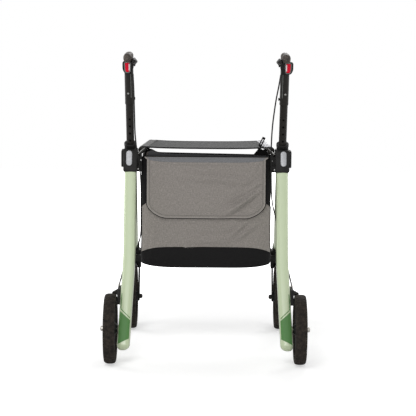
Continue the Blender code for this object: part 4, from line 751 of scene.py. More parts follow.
@dataclass(frozen=True)
class Layout:
    """Places that several sub-assemblies share, on the right side."""

    wheel_radius: float = 0.100
    rear_axle_y: float = -0.225
    front_axle_y: float = 0.225
    swivel_y: float = 0.257
    rear_x: float = 0.270
    front_x: float = 0.2305
    crown_z: float = 0.2035
    handle_x: float = 0.220
    handle_lean: float = math.radians(22)
    head_y: float = -0.058
    head_z: float = 0.575
    leg_x: float = 0.219
    leg_lean: float = math.radians(17)
    leg_depth: float = 0.042
    leg_top_width: float = 0.035
    leg_widening: float = 0.002
    leg_power: float = 0.625
    leg_face_x: float = 0.24885
    splay: float = math.radians(3.3)
    splay_z: float = 0.285
    splay_soft: float = 0.035
    foot_z: float = 0.041
    brace_half: float = 0.180
    brace_low: Pair = (0.213, 0.233)
    brace_top: Pair = (0.035, 0.568)
    rail_z: float = 0.592
    rail_back: Pair = (0.1880, -0.050)
    rail_front: Pair = (0.1672, 0.126)

    @property
    def up(self) -> Array:
        """Up along the handle tube."""
        return np.array((0, -math.sin(self.handle_lean), math.cos(self.handle_lean)))

    @property
    def back(self) -> Array:
        """Square to the handle tube, to the rear."""
        return np.cross(X, self.up)

    def handle(self, along: float) -> Array:
        """A point on the handle's axis, at a distance up from the joint head's centre."""
        return np.array((self.handle_x, self.head_y, self.head_z)) + self.up * along

    def handle_y(self, z: float) -> float:
        """The handle axis' y at a height."""
        return self.head_y - (z - self.head_z) * math.tan(self.handle_lean)

    def leg_y(self, z: Array | float) -> Array | float:
        """The rear leg axis' y at a height."""
        return self.rear_axle_y + (z - self.wheel_radius) * math.tan(self.leg_lean)

    def leg_centre(self, z: Array) -> Array:
        """The rear leg's middle line: upright, a soft parabola at the bend, then splayed."""
        drop = self.splay_z - z
        soft = self.splay_soft
        bend = np.clip(drop + soft, 0, None) ** 2 / (4 * soft)
        reach = np.where(drop > soft, drop, np.where(drop < -soft, 0.0, bend))
        return together(self.leg_x + reach * math.tan(self.splay), self.leg_y(z), z)

    def leg_width(self, z: Array) -> Array:
        """The rear leg's width, which grows below the bend."""
        share = np.clip((self.splay_z - z) / (self.splay_z - self.foot_z), 0, 1)
        return self.leg_top_width + share * self.leg_widening

    def leg_surface(self, z: Array, angle: Array, proud: float = 0.0, scale: Array | float = 1.0) -> Array:
        """The rear leg's skin.

        Args:
            z: Heights.
            angle: The section's parameter; 0 is outside, a quarter turn is the rear.
            proud: How far out of the skin.
            scale: Size of each section.

        Returns:
            centre + outside u + back v, with (u, v) on a superellipse of power 3.2.
        """
        z, angle, scale = np.broadcast_arrays(z, angle, scale)
        centre = self.leg_centre(z)
        along = unit(self.leg_centre(z + MM) - self.leg_centre(z - MM))
        outside = unit(X - along * along[..., :1])
        back = np.cross(outside, along)
        u = signed_power(np.cos(angle), self.leg_power) * (self.leg_width(z) / 2 + proud) * scale
        v = signed_power(np.sin(angle), self.leg_power) * (self.leg_depth / 2 + proud) * scale
        return centre + outside * u[..., None] + back * v[..., None]

    def rear_axle(self) -> Array:
        """The rear axle's line, where x is 0."""
        return np.array((0, self.rear_axle_y, self.wheel_radius))

    def brace_frame(self) -> tuple[Array, Array]:
        """The scissor plane's up direction and its normal."""
        (low_y, low_z), (top_y, top_z) = self.brace_low, self.brace_top
        rise = unit(np.array((0, top_y - low_y, top_z - low_z)))
        return rise, np.cross(X, rise)

    def brace_point(self, x: float, share: float) -> Array:
        """A point of the scissor plane, at a share of the way up."""
        y, z = (low + share * (top - low) for low, top in zip(self.brace_low, self.brace_top))
        return np.array((x, y, z))

    def rail(self, y: Array) -> Array:
        """The seat rail's middle line at values of y."""
        share = (y - self.rail_back[1]) / (self.rail_front[1] - self.rail_back[1])
        x = self.rail_back[0] + share * (self.rail_front[0] - self.rail_back[0])
        return together(x, y, self.rail_z)


PLAN = Layout()


def brace_lug(outline: Array, pin: Array, layer: int) -> Patch:
    """A lug on a brace bar's pin, across the scissor plane from the bar."""
    low, high = sorted((-layer * 0.0125, -layer * 0.0015))
    return prism(outline, pin, X, PLAN.brace_frame()[0], low, high, 0.0012)


# Wheels


@dataclass(frozen=True)
class Wheel:
    """A tyre with its tread, and a six-spoked rim, about an axis along x."""

    name: str
    body: str
    centre: Place
    hub_half: float
    bore: float
    tyre_half: float = 0.0165
    bead_radius: float = 0.083
    section_powers: Pair = (0.80, 0.74)
    tread_depth: float = 0.0011
    tread_from: float = 0.0925
    groove_lean: float = 1.8
    groove_offset: float = 1.4
    zigzag: float = 0.0016
    zigzag_width: float = 0.0011
    blocks: int = 46
    spokes: int = 6

    def tyre(self) -> Patch:
        """The tyre's closed skin.

        Returns:
            A superellipse section turned round, less the tread: slanted side grooves, and a
            centre groove that zigzags.
        """
        around = np.linspace(0, 2 * np.pi, 8 * self.blocks + 1)[None]
        section = np.linspace(0, 2 * np.pi, 45)[:, None]
        c, s = np.cos(section), np.sin(section)
        middle = (PLAN.wheel_radius + self.bead_radius) / 2
        flat, tall = self.section_powers
        x = signed_power(c, flat) * self.tyre_half
        radius = middle + signed_power(s, tall) * (PLAN.wheel_radius - middle)
        across = np.abs(x) / self.tyre_half
        phase = self.blocks * around + np.sign(x) * self.groove_offset - across * self.groove_lean
        slots = ease((np.cos(phase) - 0.45) / 0.35) * ease((across - 0.22) / 0.10)
        zigzag = self.zigzag * np.arcsin(np.sin(self.blocks * around)) / (np.pi / 2)
        centre = np.exp(-(((x - zigzag) / self.zigzag_width) ** 2))
        tread = ease((radius - self.tread_from) / 0.004)
        radius = radius - self.tread_depth * np.maximum(slots, centre) * tread
        return Patch(self.turned(x, radius, around))

    def turned(self, x: Array, radius: Array, around: Array) -> Array:
        """Points at an offset x, a radius and an angle about the wheel's centre."""
        across = together(x, radius * np.cos(around), radius * np.sin(around))
        return across + np.array(self.centre)

    def rim(self) -> list[Patch]:
        """Ring, hub and spokes."""
        outer = self.bead_radius - 0.0002
        ring = [(outer, -0.0090), (outer, 0.0090), (0.0815, 0.0100), (0.0795, 0.0096), (0.0768, 0.0070),
                (0.0760, 0.0), (0.0768, -0.0070), (0.0795, -0.0096), (0.0815, -0.0100), (outer, -0.0090)]
        half = self.hub_half
        hub = [(self.bore, -half), (0.0125, -half), (0.0145, -half + 0.002), (0.0180, -0.0085),
               (0.0180, 0.0085), (0.0145, half - 0.002), (0.0125, half), (self.bore, half),
               (self.bore, -half)]
        outline = rounded([(-0.0075, 0.013), (0.0075, 0.013), (0.0050, 0.060), (0.0085, 0.0785),
                           (-0.0085, 0.0785), (-0.0050, 0.060)], 0.006, 4)
        patches = [lathe(ring, self.centre, X, 96), lathe(hub, self.centre, X, 48)]
        for turn in np.arange(self.spokes) * 2 * np.pi / self.spokes + np.pi / 12:
            across = np.array((0, math.cos(turn), math.sin(turn)))
            above = np.array((0, -math.sin(turn), math.cos(turn)))
            patches.append(prism(outline, self.centre, across, above, -0.0065, 0.0065, 0.0022))
        return patches

    def build(self, bench: Bench, side: Side) -> None:
        """Make tyre and rim for one side."""
        bench.piece(self.name + "_wheel_tyre", [self.tyre()], TYRE, self.body, [self.name + "_tyre"],
                    side, smooth=50)
        bench.piece(self.name + "_wheel_rim", self.rim(), RIM, self.body, [self.name + "_rim"], side)


@dataclass(frozen=True)
class RearAxle:
    """Spacer at the leg, spindle through the hub and a silver cap outside."""

    radius: float = 0.0055
    spacer_radius: float = 0.0095
    cap_radius: float = 0.0075
    hub_half: float = 0.0182
    clearance: float = 0.0003

    def build(self, bench: Bench, side: Side) -> None:
        """Make spindle and cap as one turned piece, with a flanged dark spacer."""
        centre, face = PLAN.rear_axle(), PLAN.leg_face_x
        inner = PLAN.rear_x - self.hub_half - self.clearance
        outer = PLAN.rear_x + self.hub_half + self.clearance
        spindle = [(0, face - 0.028), (self.radius, face - 0.028), (self.radius, outer), (0, outer)]
        t = np.linspace(0, np.pi / 2, 7)
        cap = together(self.cap_radius * np.cos(t) ** 0.7, outer + 0.0065 + 0.004 * np.sin(t))
        profile = [(0, outer), (0.0088, outer), (0.0088, outer + 0.0012),
                   (self.cap_radius, outer + 0.0016), *cap]
        patches = [lathe(spindle, centre, X), lathe(profile, centre, X)]
        bench.piece("rear_axle_cap", patches, STEEL, "frame", ["rear_axle"], side)
        spacer = rod(centre + X * (face + self.clearance), centre + X * inner, self.spacer_radius, 0.0006)
        bench.piece("rear_axle_spacer", [spacer], PLASTIC, "frame", [], side)


@dataclass(frozen=True)
class Fork:
    """A trailing fork with two arms, a crown with blocks beside it, a stem and its through axle."""

    arm_inner: float = 0.0200
    arm: float = 0.0045
    ear: float = 0.0145
    crown_half: float = 0.020
    crown_height: float = 0.010

    def build(self, bench: Bench, side: Side) -> None:
        """Make fork and axle for one side."""
        x, y, z = PLAN.front_x, PLAN.front_axle_y, PLAN.wheel_radius
        crown_top = PLAN.crown_z + self.crown_height
        angle = np.linspace(0.86 * np.pi, 1.86 * np.pi, 16)
        ear = together(y + self.ear * np.cos(angle), z + self.ear * np.sin(angle))
        back, front = PLAN.swivel_y - self.crown_half, PLAN.swivel_y + self.crown_half
        outline = np.concatenate([[(back - 0.001, 0.150), (back, crown_top)], ear,
                                  [(front, 0.165), (front, crown_top)]])[np.r_[1, 0, 2:20]]
        patches = []
        for low in (-self.arm_inner - self.arm, self.arm_inner):
            patches.append(plate(outline, x + low, x + low + self.arm, 0.0014))
        half = self.arm_inner + self.arm
        crown = rectangle((-half, half), (-self.crown_half, self.crown_half), 0.004)
        patches.append(prism(crown, (x, PLAN.swivel_y, 0), X, Y, PLAN.crown_z, crown_top, 0.0018))
        blocks = ((self.arm_inner - 0.0028, half + 0.0035, -0.016, 0.187, 0.0),
                  (0.0135, half - 0.0004, 0.0110, 0.1862, 0.0004),
                  (-0.001, half - 0.0008, 0.0135, 0.1900, 0.0008))
        for inside, wide, rear, low_z, tuck in blocks:
            block = rectangle((rear, 0.0192 - tuck), (low_z, crown_top - tuck), 0.003)
            for sign in (-1, 1):
                low, high = sorted((x + sign * inside, x + sign * wide))
                patches.append(plate(block, low, high, 0.0014, (0, PLAN.swivel_y, 0)))
        top = np.array((x, PLAN.swivel_y, crown_top))
        patches.append(rod(top - Z * 0.004, top + Z * 0.035, 0.006))
        bench.piece("caster_fork", patches, PLASTIC, "caster", ["fork"], side)
        centre = np.array((x, y, z))
        nut = half + 0.0003
        patches = [rod(centre - X * nut, centre + X * nut, 0.004),
                   dome(centre + X * nut, X, 0.0072, 0.009), dome(centre - X * nut, -X, 0.0072, 0.009)]
        bench.piece("caster_axle", patches, TUBE, "caster", ["front_axle"], side)


# Side frames


@dataclass(frozen=True)
class RearLeg:
    """The splayed rear leg with its foot, the green panel and its pinstripe."""

    top_z: float = 0.543
    rounding: float = 0.017
    panel: tuple[float, float, float, float] = (0.1452, 0.1220, 0.0560, 0.0725)
    panel_angles: Pair = (math.radians(133), math.radians(46))
    foot_lean: float = 0.0058

    def build(self, bench: Bench, side: Side) -> None:
        """Make leg, panel and stripe for one side."""
        t = np.sin(np.linspace(0, np.pi / 2, 14))
        foot = PLAN.foot_z + self.rounding * (1 - np.sqrt(1 - t**2))[:-1]
        scale = np.concatenate([0.20 + 0.80 * t[:-1], np.ones(60)])
        scale[0] = 0.0
        z = np.concatenate([foot, np.linspace(PLAN.foot_z + self.rounding, self.top_z, 60)])
        z[1] = z[0]
        angle = np.linspace(0, 2 * np.pi, 73)
        skin = PLAN.leg_surface(z[:, None], angle[None], scale=scale[:, None])
        skin[..., 0] += self.foot_lean * (1 - scale[:, None])
        face = PLAN.leg_face_x
        boss = lathe([(0, face - 0.012), (0.0105, face - 0.012), (0.0105, face - 0.0016), (0.0085, face),
                      (0, face)], PLAN.rear_axle(), X)
        bench.piece("carbon_rear_leg", [Patch(skin, True), boss], CARBON, "frame", ["rear_leg"], side)
        bench.piece("foot_panel", [Patch(self.panel_skin())], PANEL, "frame", ["leg_panel"], side,
                    thick=0.0007)
        bench.piece("foot_stripe", [Patch(self.stripe_skin())], PANEL, "frame", [], side, thick=0.0004)

    def across(self, share: Array) -> Array:
        """The section's angle where x has gone that share from the panel's inner to its outer edge."""
        fine = np.linspace(*self.panel_angles, 200)
        x = signed_power(np.cos(fine), PLAN.leg_power)
        return np.interp(share, (x - x[0]) / (x[-1] - x[0]), fine)

    def panel_skin(self) -> Array:
        """The panel: between two slanted straight edges, on the leg's skin."""
        outer_top, inner_top, outer_low, inner_low = self.panel
        share = np.linspace(0, 1, 28)[None]
        level = np.linspace(0, 1, 24)[:, None]
        low = inner_low + share * (outer_low - inner_low)
        high = inner_top + share * (outer_top - inner_top)
        return PLAN.leg_surface(low + (high - low) * level, self.across(share), 0.0008)

    def stripe_skin(self) -> Array:
        """The pinstripe: down beside the outer edge, then along above the panel."""
        knots = np.array([(0.96, 0.1935), (0.96, 0.1545), (0.92, 0.1505), (0.02, 0.1285)])
        path = respaced(knots * (0.03, 1), 0.0015) / (0.03, 1)
        along = unit(np.gradient(path * (0.03, 1), axis=0))
        side = together(along[:, 1], -along[:, 0]) / (0.03, 1)
        width = np.linspace(-0.0010, 0.0010, 3)[None, :, None]
        flat = path[:, None] + side[:, None] * width
        return PLAN.leg_surface(flat[..., 1], self.across(flat[..., 0]), 0.0004)


@dataclass(frozen=True)
class FrontLeg:
    """The front leg: straight below the head, one bend, then down to the caster."""

    radius: float = 0.0175
    top: float = -0.021
    straight: float = 0.170
    bend: float = 0.032
    bore: float = 0.0236
    end: tuple[float, float, float] = (0.228, 0.257, 0.247)

    def line(self) -> Array:
        """The leg's middle line, with a quadratic curve at its bend."""
        corner = PLAN.handle(-(self.straight + self.bend))
        target = np.array(self.end)
        onward = unit(target - corner)
        start, finish = corner + PLAN.up * self.bend, corner + onward * self.bend
        t = np.linspace(0, 1, 16)[:, None]
        curve = start * (1 - t) ** 2 + corner * 2 * t * (1 - t) + finish * t**2
        upper = np.linspace(PLAN.handle(self.top), start, 12, endpoint=False)
        lower = np.linspace(finish, target - onward * 0.020, 24)[1:]
        return np.concatenate([upper, curve, lower])

    def build(self, bench: Bench, side: Side) -> None:
        """Make the leg for one side, bored so that the handle tube slides in it."""
        path = self.line()
        outer = sweep(path, superellipse(2 * self.radius, 2 * self.radius, 2, 48), X)
        bore = sweep(np.stack([PLAN.handle(-self.straight), PLAN.handle(self.top)]),
                     superellipse(self.bore, self.bore, 2, 48), X)
        cap = np.repeat(outer[-1:].mean(1, keepdims=True), outer.shape[1], 1)
        floor = np.repeat(bore[:1].mean(1, keepdims=True), bore.shape[1], 1)
        skin = np.concatenate([cap, outer[::-1], bore[::-1], floor])
        bench.piece("carbon_front_leg", [Patch(skin)], CARBON, "frame", ["front_leg"], side)


@dataclass(frozen=True)
class JointHead:
    """The casting that joins both legs, guides the handle tube and cradles the seat rail.

    lumps are the block round the leg's top, the rib, the cradle and the stay: span in y, span in z,
    corner radius, span in x and edge radius of each. screws are place, axis, radius, height and
    socket of each.
    """

    low_z: float = 0.535
    top_z: float = 0.598
    inner_x: float = 0.1990
    outer_x: float = 0.2388
    wall: float = 0.0032
    button_x: float = 0.2220
    button_z: float = 0.5738
    collar: float = 0.0180
    bore: float = 0.0117
    button_size: Pair = (0.045, 0.017)
    lumps: tuple[tuple[Pair, Pair, float, Pair, float], ...] = (
        ((-0.096, -0.044), (0.546, 0.595), 0.009, (0.232, 0.2456), 0.0030),
        ((-0.0965, -0.052), (0.5375, 0.552), 0.004, (0.1885, 0.205), 0.0015),
        ((-0.083, -0.0610), (0.548, 0.5885), 0.003, (0.187, 0.203), 0.0012),
        ((-0.082, -0.054), (0.5315, 0.552), 0.004, (0.1855, 0.2035), 0.0015))
    screws: tuple[tuple[Place, Array, float, float, float], ...] = (
        ((0.1893, -0.0828, 0.5655), -Y, 0.0026, 0.0014, 0.0010),
        ((0.1970, -0.0962, 0.5415), -Y, 0.0028, 0.0020, 0.0014),
        ((0.2437, -0.086, 0.556), X, 0.0030, 0.0012, 0.0014),
        ((0.2437, -0.054, 0.585), X, 0.0030, 0.0012, 0.0014))

    def back_y(self, z: float) -> float:
        """The rear face's y, which follows the rear leg."""
        return PLAN.leg_y(z) - (PLAN.leg_depth / 2 + self.wall) / math.cos(PLAN.leg_lean)

    def front_y(self, z: float) -> float:
        """The front face's y, which follows the front leg."""
        return PLAN.handle_y(z) + (FrontLeg().radius + self.wall) / math.cos(PLAN.handle_lean)

    def button(self, grow: float, low: float, high: float, edge: float) -> Patch:
        """The release button's slot shape, from low to high out of the rear face."""
        above = np.array((0, math.sin(PLAN.leg_lean), math.cos(PLAN.leg_lean)))
        centre = np.array((self.button_x, self.back_y(self.button_z), self.button_z))
        outline = stadium(*(size + 2 * grow for size in self.button_size))
        return prism(outline, centre, X, above, low, high, edge, 5)

    def build(self, bench: Bench, side: Side) -> None:
        """Make head, button and screws for one side."""
        corners = [(self.back_y(self.low_z), self.low_z), (self.front_y(self.low_z), self.low_z),
                   (self.front_y(self.top_z), self.top_z), (self.back_y(self.top_z), self.top_z)]
        body = plate(rounded(corners, 0.007), self.inner_x, self.outer_x, 0.0028)
        block, rib, cradle, stay = (plate(rectangle(y, z, radius), *x, edge)
                                    for y, z, radius, x, edge in self.lumps)
        wide = self.collar
        collar = lathe([(0, 0), (0.0172, 0), (0.0172, 0.0335), (wide, 0.0355), (wide, 0.0425),
                        (wide - 0.0012, 0.044), (0, 0.044)], PLAN.handle(0), PLAN.up)
        bore = rod(PLAN.handle(-0.12), PLAN.handle(0.06), self.bore)
        slot_path = np.array([(0.1810, -0.0540, 0.5935), (0.2005, -0.0900, 0.5790)])
        slot = sweep(slot_path, rectangle((-0.0046, 0.0046), (-0.0046, 0.03), 0.004), Z)
        cuts = [bore, self.button(0.0004, -0.0085, 0.010, 0.0), Patch(slot, True)]
        joins = [block, collar, rib, cradle, stay]
        bench.piece("head_casting", [body], PLASTIC, "frame", ["joint_head"], side, joins, cuts)
        bench.piece("head_button", [self.button(0.0, -0.0045, 0.0030, 0.0016)], SILVER, "button",
                    ["height_button"], side)
        small = [dome(*screw) for screw in self.screws]
        bench.piece("head_screws", small, DULL_STEEL_AND_HIGHLIGHT, "frame", [], side)


@dataclass(frozen=True)
class CasterHead:
    """The block at the front leg's end, with the clamp round the leg and the brace's lug."""

    low_z: float = 0.2140
    top_z: float = 0.246

    def build(self, bench: Bench, side: Side) -> None:
        """Make the head for one side."""
        x, layer = PLAN.front_x, side.layer
        block = rectangle((-0.030, 0.022), (-0.035, 0.020), 0.011, 6)
        block = prism(block, (x, PLAN.swivel_y, 0), X, Y, self.low_z, self.top_z, 0.0045)
        arm = plate(rectangle((0.2020, 0.2450), (self.low_z + 0.001, 0.234), 0.003), 0.169, 0.225, 0.0015)
        rise, normal = PLAN.brace_frame()
        pin = PLAN.brace_point(PLAN.brace_half, 0.0)
        lug = brace_lug(rectangle((-0.012, 0.012), (-0.010, 0.010), 0.006), pin, layer)
        near, end = FrontLeg().line()[-2:]
        sleeve = rod(end - unit(end - near) * 0.008, end + unit(end - near) * 0.012, 0.0205, 0.002)
        swing = prism(stadium(0.036, 0.036), pin, X, rise, *sorted((layer * 0.0012, layer * 0.0165)), 0.0)
        pins = [rod(pin - normal * (layer * 0.006), pin + normal * (layer * 0.0145), 0.004)]
        joins = [arm, lug, sleeve]
        bench.piece("caster_casting", [block], PLASTIC, "frame", ["caster_head"], side, joins, [swing])
        bench.piece("caster_pivot_pin", pins, STEEL, "frame", [], side)
        small = [dome((x - 0.0145, PLAN.swivel_y - 0.0352, 0.2280), -Y, 0.0026, 0.0014, 0.0011),
                 dome((x - 0.0235, PLAN.swivel_y - 0.0340, 0.2280), -Y, 0.0020, 0.0014, 0.0009),
                 dome((x - 0.0235, PLAN.swivel_y - 0.0340, 0.2190), -Y, 0.0024, 0.0014, 0.0011),
                 dome((x, PLAN.swivel_y, self.top_z), Z, 0.0090, 0.0035)]
        bench.piece("caster_screws", small, STEEL, "frame", [], side)


# Handles


@dataclass(frozen=True)
class Handle:
    """Holed tube, sleeve, knob, brake housing with its reflector, and the grip."""

    tube: float = 0.0112
    wall: float = 0.0016
    fit: float = 0.0003
    liner_top: float = 0.150
    sleeve: float = 0.01265
    low: float = -0.075
    top: float = 0.262
    sleeve_low: float = 0.1704
    sleeve_top: float = 0.292
    hole: float = 0.0033
    pitch: float = 0.023
    knob_along: float = 0.187
    screw_along: float = 0.208
    seam_along: Pair = (0.196, 0.2695)
    seam_turn: float = math.radians(26)
    housing_z: Pair = (0.8215, 0.8570)
    grip_y: Pair = (-0.130, -0.250)
    grip_z: float = 0.8697
    grip_half: Pair = (0.0121, 0.0124)
    grip_power: float = 0.87
    fingers: float = 4.5
    finger_depth: float = 0.0007
    rib_depth: float = 0.00025
    ribs: int = 38
    reach: dict[Side, float] = field(default_factory=lambda: {Side.LEFT: 0.0170, Side.RIGHT: 0.0222})

    def build(self, bench: Bench, side: Side) -> None:
        """Make every piece of the handle for one side."""
        base, up, back = PLAN.handle(0), PLAN.up, PLAN.back
        inner = self.tube - self.wall
        wall = [(inner, self.low), (self.tube, self.low), (self.tube, self.top), (inner, self.top),
                (inner, self.low)]
        first = (JointHead().button_z - PLAN.head_z) / math.cos(PLAN.handle_lean) + self.pitch / 2
        holes = []
        for k in range(-2, 6):
            at = PLAN.handle(first + k * self.pitch)
            holes.append(rod(at + back * 0.004, at + back * 0.03, self.hole, steps=20))
        bench.piece("handle_lower_tube", [lathe(wall, base, up, 64)], TUBE, "handle", ["handle_tube"],
                    side, cuts=holes)
        # A near-black lining tube inside the tube paints the shade seen through its holes.
        far, near = inner - 0.0010, inner - 0.0002
        shade_liner = [(far, self.low), (near, self.low), (near, self.liner_top), (far, self.liner_top),
                 (far, self.low)]
        bench.piece("handle_liner", [lathe(shade_liner, base, up, 40)], HOLE_SHADE, "handle", [], side)
        r, q = self.sleeve, self.tube + self.fit
        low, high = self.sleeve_low, self.sleeve_top
        skin = [(q, low), (r - 0.0003, low), (r + 0.0002, low + 0.0008), (r + 0.0002, low + 0.0045),
                (r, low + 0.0055), (r, high), (q, high), (q, low)]
        bench.piece("handle_sleeve", [self.grooved(lathe(skin, base, up, 96).points)], TUBE, "handle",
                    ["handle_stem"], side)
        knob = PLAN.handle(self.knob_along) - X * (r + 0.0002)
        profile = [(0, 0), (0.0034, 0), (0.0034, 0.0006), (0.0043, 0.0010), (0.0043, 0.0028),
                   (0.0036, 0.0036), (0, 0.0038)]
        bench.piece("sleeve_knob", [lathe(profile, knob, -X, 24)], PLASTIC, "handle", ["clamp_knob"],
                    side)
        screw = PLAN.handle(self.screw_along) + back * (r - 0.0005) + X * 0.0026
        bench.piece("sleeve_screw", [dome(screw, back, 0.0030, 0.0014, 0.0013)], DULL_STEEL_AND_HIGHLIGHT, "handle",
                    ["stem_screw"], side)
        # A lighter grey strip along the sleeve's inner rear side is a painted highlight line, where the
        # tube's edge would catch light.
        turn = self.seam_turn
        seam = unit(back * math.cos(turn) - X * math.sin(turn)) * (r + 0.00005)
        line = np.stack([PLAN.handle(along) + seam for along in self.seam_along])
        bench.piece("sleeve_seam", [strand(line, 0.0016, 0.0010, 2, 10)], BEZEL_AND_HIGHLIGHT, "handle", [], side)
        self.build_housing(bench, side)
        bench.piece("handle_grip", [self.grip()], GRIP, "handle", ["grip"], side, smooth=60)

    def grooved(self, points: Array) -> Patch:
        """The sleeve with a shallow groove along its inner rear side, where two shells meet."""
        away = points - PLAN.handle(0)
        across, behind = away[..., 0], away @ PLAN.back
        angle = np.arctan2(-across, behind)
        depth = 0.0005 * np.exp(-(((angle - self.seam_turn) / 0.07) ** 2))
        outward = across[..., None] * X + behind[..., None] * PLAN.back
        length = np.linalg.norm(outward, axis=-1, keepdims=True)
        return Patch(points - outward / length * depth[..., None] * (length > self.tube + 0.0008))

    def build_housing(self, bench: Bench, side: Side) -> None:
        """The housing: a block rounded like a shield below, a saddle for the grip, and the lens, with its
        bezel and a pale strip that paints its highlight.
        """
        low, high = self.housing_z
        middle = (low + high) / 2
        centre = np.array((PLAN.handle_x, PLAN.handle_y(middle), middle))
        slope = PLAN.up / PLAN.up[2]
        half = (high - low) / 2
        reach, lens_x = self.reach[side], self.reach[side] - 0.0140
        outline = rounded([(-0.0134, half), (-0.0134, -half * 0.1), (-0.0070, -half),
                           (reach - 0.0065, -half), (reach, -half * 0.35), (reach, half)], 0.0060, 6)
        block = prism(outline, centre, X, slope, -0.0200, 0.0205, 0.0024, 5, -Y)
        crown = rounded([(-0.0120, 0.0), (0.0140, 0.0), (0.0125, 0.0145), (-0.0105, 0.0145)], 0.0045, 6)
        crown = prism(crown, (PLAN.handle_x, -0.165, high - 0.005), X, Z, -0.028, 0.022, 0.0024, 5)
        top = PLAN.handle(self.sleeve_top + 0.0004)
        bore = rod(PLAN.handle(self.sleeve_low), top, self.sleeve + self.fit)
        hinge = BrakeLever().hinge
        lever_pin = rod((0.2085, *hinge), (0.2026, *hinge), 0.0030)
        at = np.array((PLAN.handle_x + lens_x, PLAN.handle_y(middle + 0.001) - 0.0205, middle + 0.001))
        lens = [(-0.0070, 0.0132), (-0.0058, -0.0135), (0.0054, -0.0135), (0.0070, 0.0132)]
        lens = rounded(lens, 0.0050, 6)
        recess = prism(lens * 1.07, at, X, slope, -0.0016, 0.004, 0.0, 4, -Y)
        bench.piece("brake_shell", [block], PLASTIC, "handle", ["brake_housing"], side,
                    [crown, lever_pin], [bore, recess])
        solid = prism(lens, at, X, slope, -0.0012, 0.0014, 0.0012, 5, -Y)
        bench.piece("rear_lens", [solid], LENS, "handle", ["red_reflector"], side)
        ring = at + close(lens * 1.22)[:-1, :1] * X + close(lens * 1.11)[:-1, 1:] * slope - Y * 0.0002
        bezel = sweep(ring, superellipse(0.0032, 0.0016, 2, 10), Y, ring=True)
        bench.piece("lens_bezel", [Patch(bezel)], BEZEL_AND_HIGHLIGHT, "handle", [], side)
        # A pale strip along the lens's inner edge paints its highlight.
        strip = at - X * 0.0054 - Y * 0.0012
        strip = np.stack([strip + slope * 0.0095, strip - slope * 0.0085])
        bench.piece("lens_highlight_strip", [strand(strip, 0.0036, 0.0016, 3, 14)], GLINT, "handle", [],
                    side)

    def grip(self) -> Patch:
        """The grip's skin.

        Returns:
            Oval sections along y, swollen for the palm, scalloped for the fingers below and
            ribbed round the sides, with domed ends.
        """
        front, back = self.grip_y
        share = np.linspace(0, 1, 121)[:, None]
        angle = np.linspace(0, 2 * np.pi, 73)[None]
        ends = np.clip(np.minimum(share / 0.07, (1 - share) / 0.10), 0, 1)
        size = np.sqrt(1 - (1 - ends) ** 2.2) * (0.955 + 0.045 * np.sin(np.pi * share) ** 2)
        c, s = np.cos(angle), np.sin(angle)
        fingers = self.finger_depth * np.cos(share * 2 * np.pi * self.fingers)
        fingers = fingers * ease(-s) * ease((share - 0.08) / 0.1)
        ribs = self.rib_depth * np.cos(share * 2 * np.pi * self.ribs)
        ribs = ribs * ease((np.abs(c) - 0.55) / 0.3) * ease(ends)
        radius = size * (1 + (fingers + ribs) / 0.012)
        wide, tall = self.grip_half
        x = PLAN.handle_x + signed_power(c, self.grip_power) * wide * radius
        z = self.grip_z + signed_power(s, self.grip_power) * tall * radius
        y = front + (back - front) * share
        return Patch(together(x, y, z))


@dataclass(frozen=True)
class BrakeLever:
    """The lever beside the grip: a thin-edged blade on a round knuckle."""

    hinge: Pair = (-0.152, 0.845)
    outer_x: float = 0.2052
    inner_x: float = 0.2028
    knuckle: float = 0.0040
    bore: float = 0.0033
    stations: tuple[tuple[float, float, float, float, float, float], ...] = (
        (0.001, 0.2052, 0.2022, 0.0040, 0.0060, -0.0030), (0.018, 0.2052, 0.1950, 0.0100, 0.0180, 0.0030),
        (0.041, 0.2052, 0.1932, 0.0128, 0.0225, 0.0055), (0.049, 0.2072, 0.1931, 0.0136, 0.0230, 0.0062),
        (0.070, 0.2072, 0.1934, 0.0145, 0.0235, 0.0080), (0.086, 0.2072, 0.1950, 0.0160, 0.0225, 0.0100),
        (0.091, 0.2065, 0.1990, 0.0160, 0.0190, 0.0130))

    def build(self, bench: Bench, side: Side) -> None:
        """Make the lever for one side: sections through the stations, skinned smoothly."""
        at = smooth_path(self.stations, 0.0022)
        rings = []
        for behind, outer, tip_x, tip, top, low in at:
            corners = [(outer, top), (outer, low), (outer - 0.003, low - 0.0006),
                       (tip_x + 0.0010, tip - 0.0018), (tip_x + 0.0010, tip + 0.0012),
                       (outer - 0.004, top + 0.0003)]
            ring = rounded(corners, 0.0009, 4)
            rings.append(np.column_stack([ring[:, 0], np.full(len(ring), self.hinge[0] - behind),
                                          ring[:, 1] + self.hinge[1]]))
        grid = np.stack(rings)
        grid = np.concatenate([grid, grid[:, :1]], 1)
        knuckle = rod((self.outer_x, *self.hinge), (self.inner_x, *self.hinge), self.knuckle, 0.0006)
        bore = rod((0.215, *self.hinge), (0.190, *self.hinge), self.bore)
        bench.piece("brake_blade", [Patch(grid, True)], PLASTIC, "lever", ["brake_lever"], side,
                    [knuckle], [bore])


# Brakes


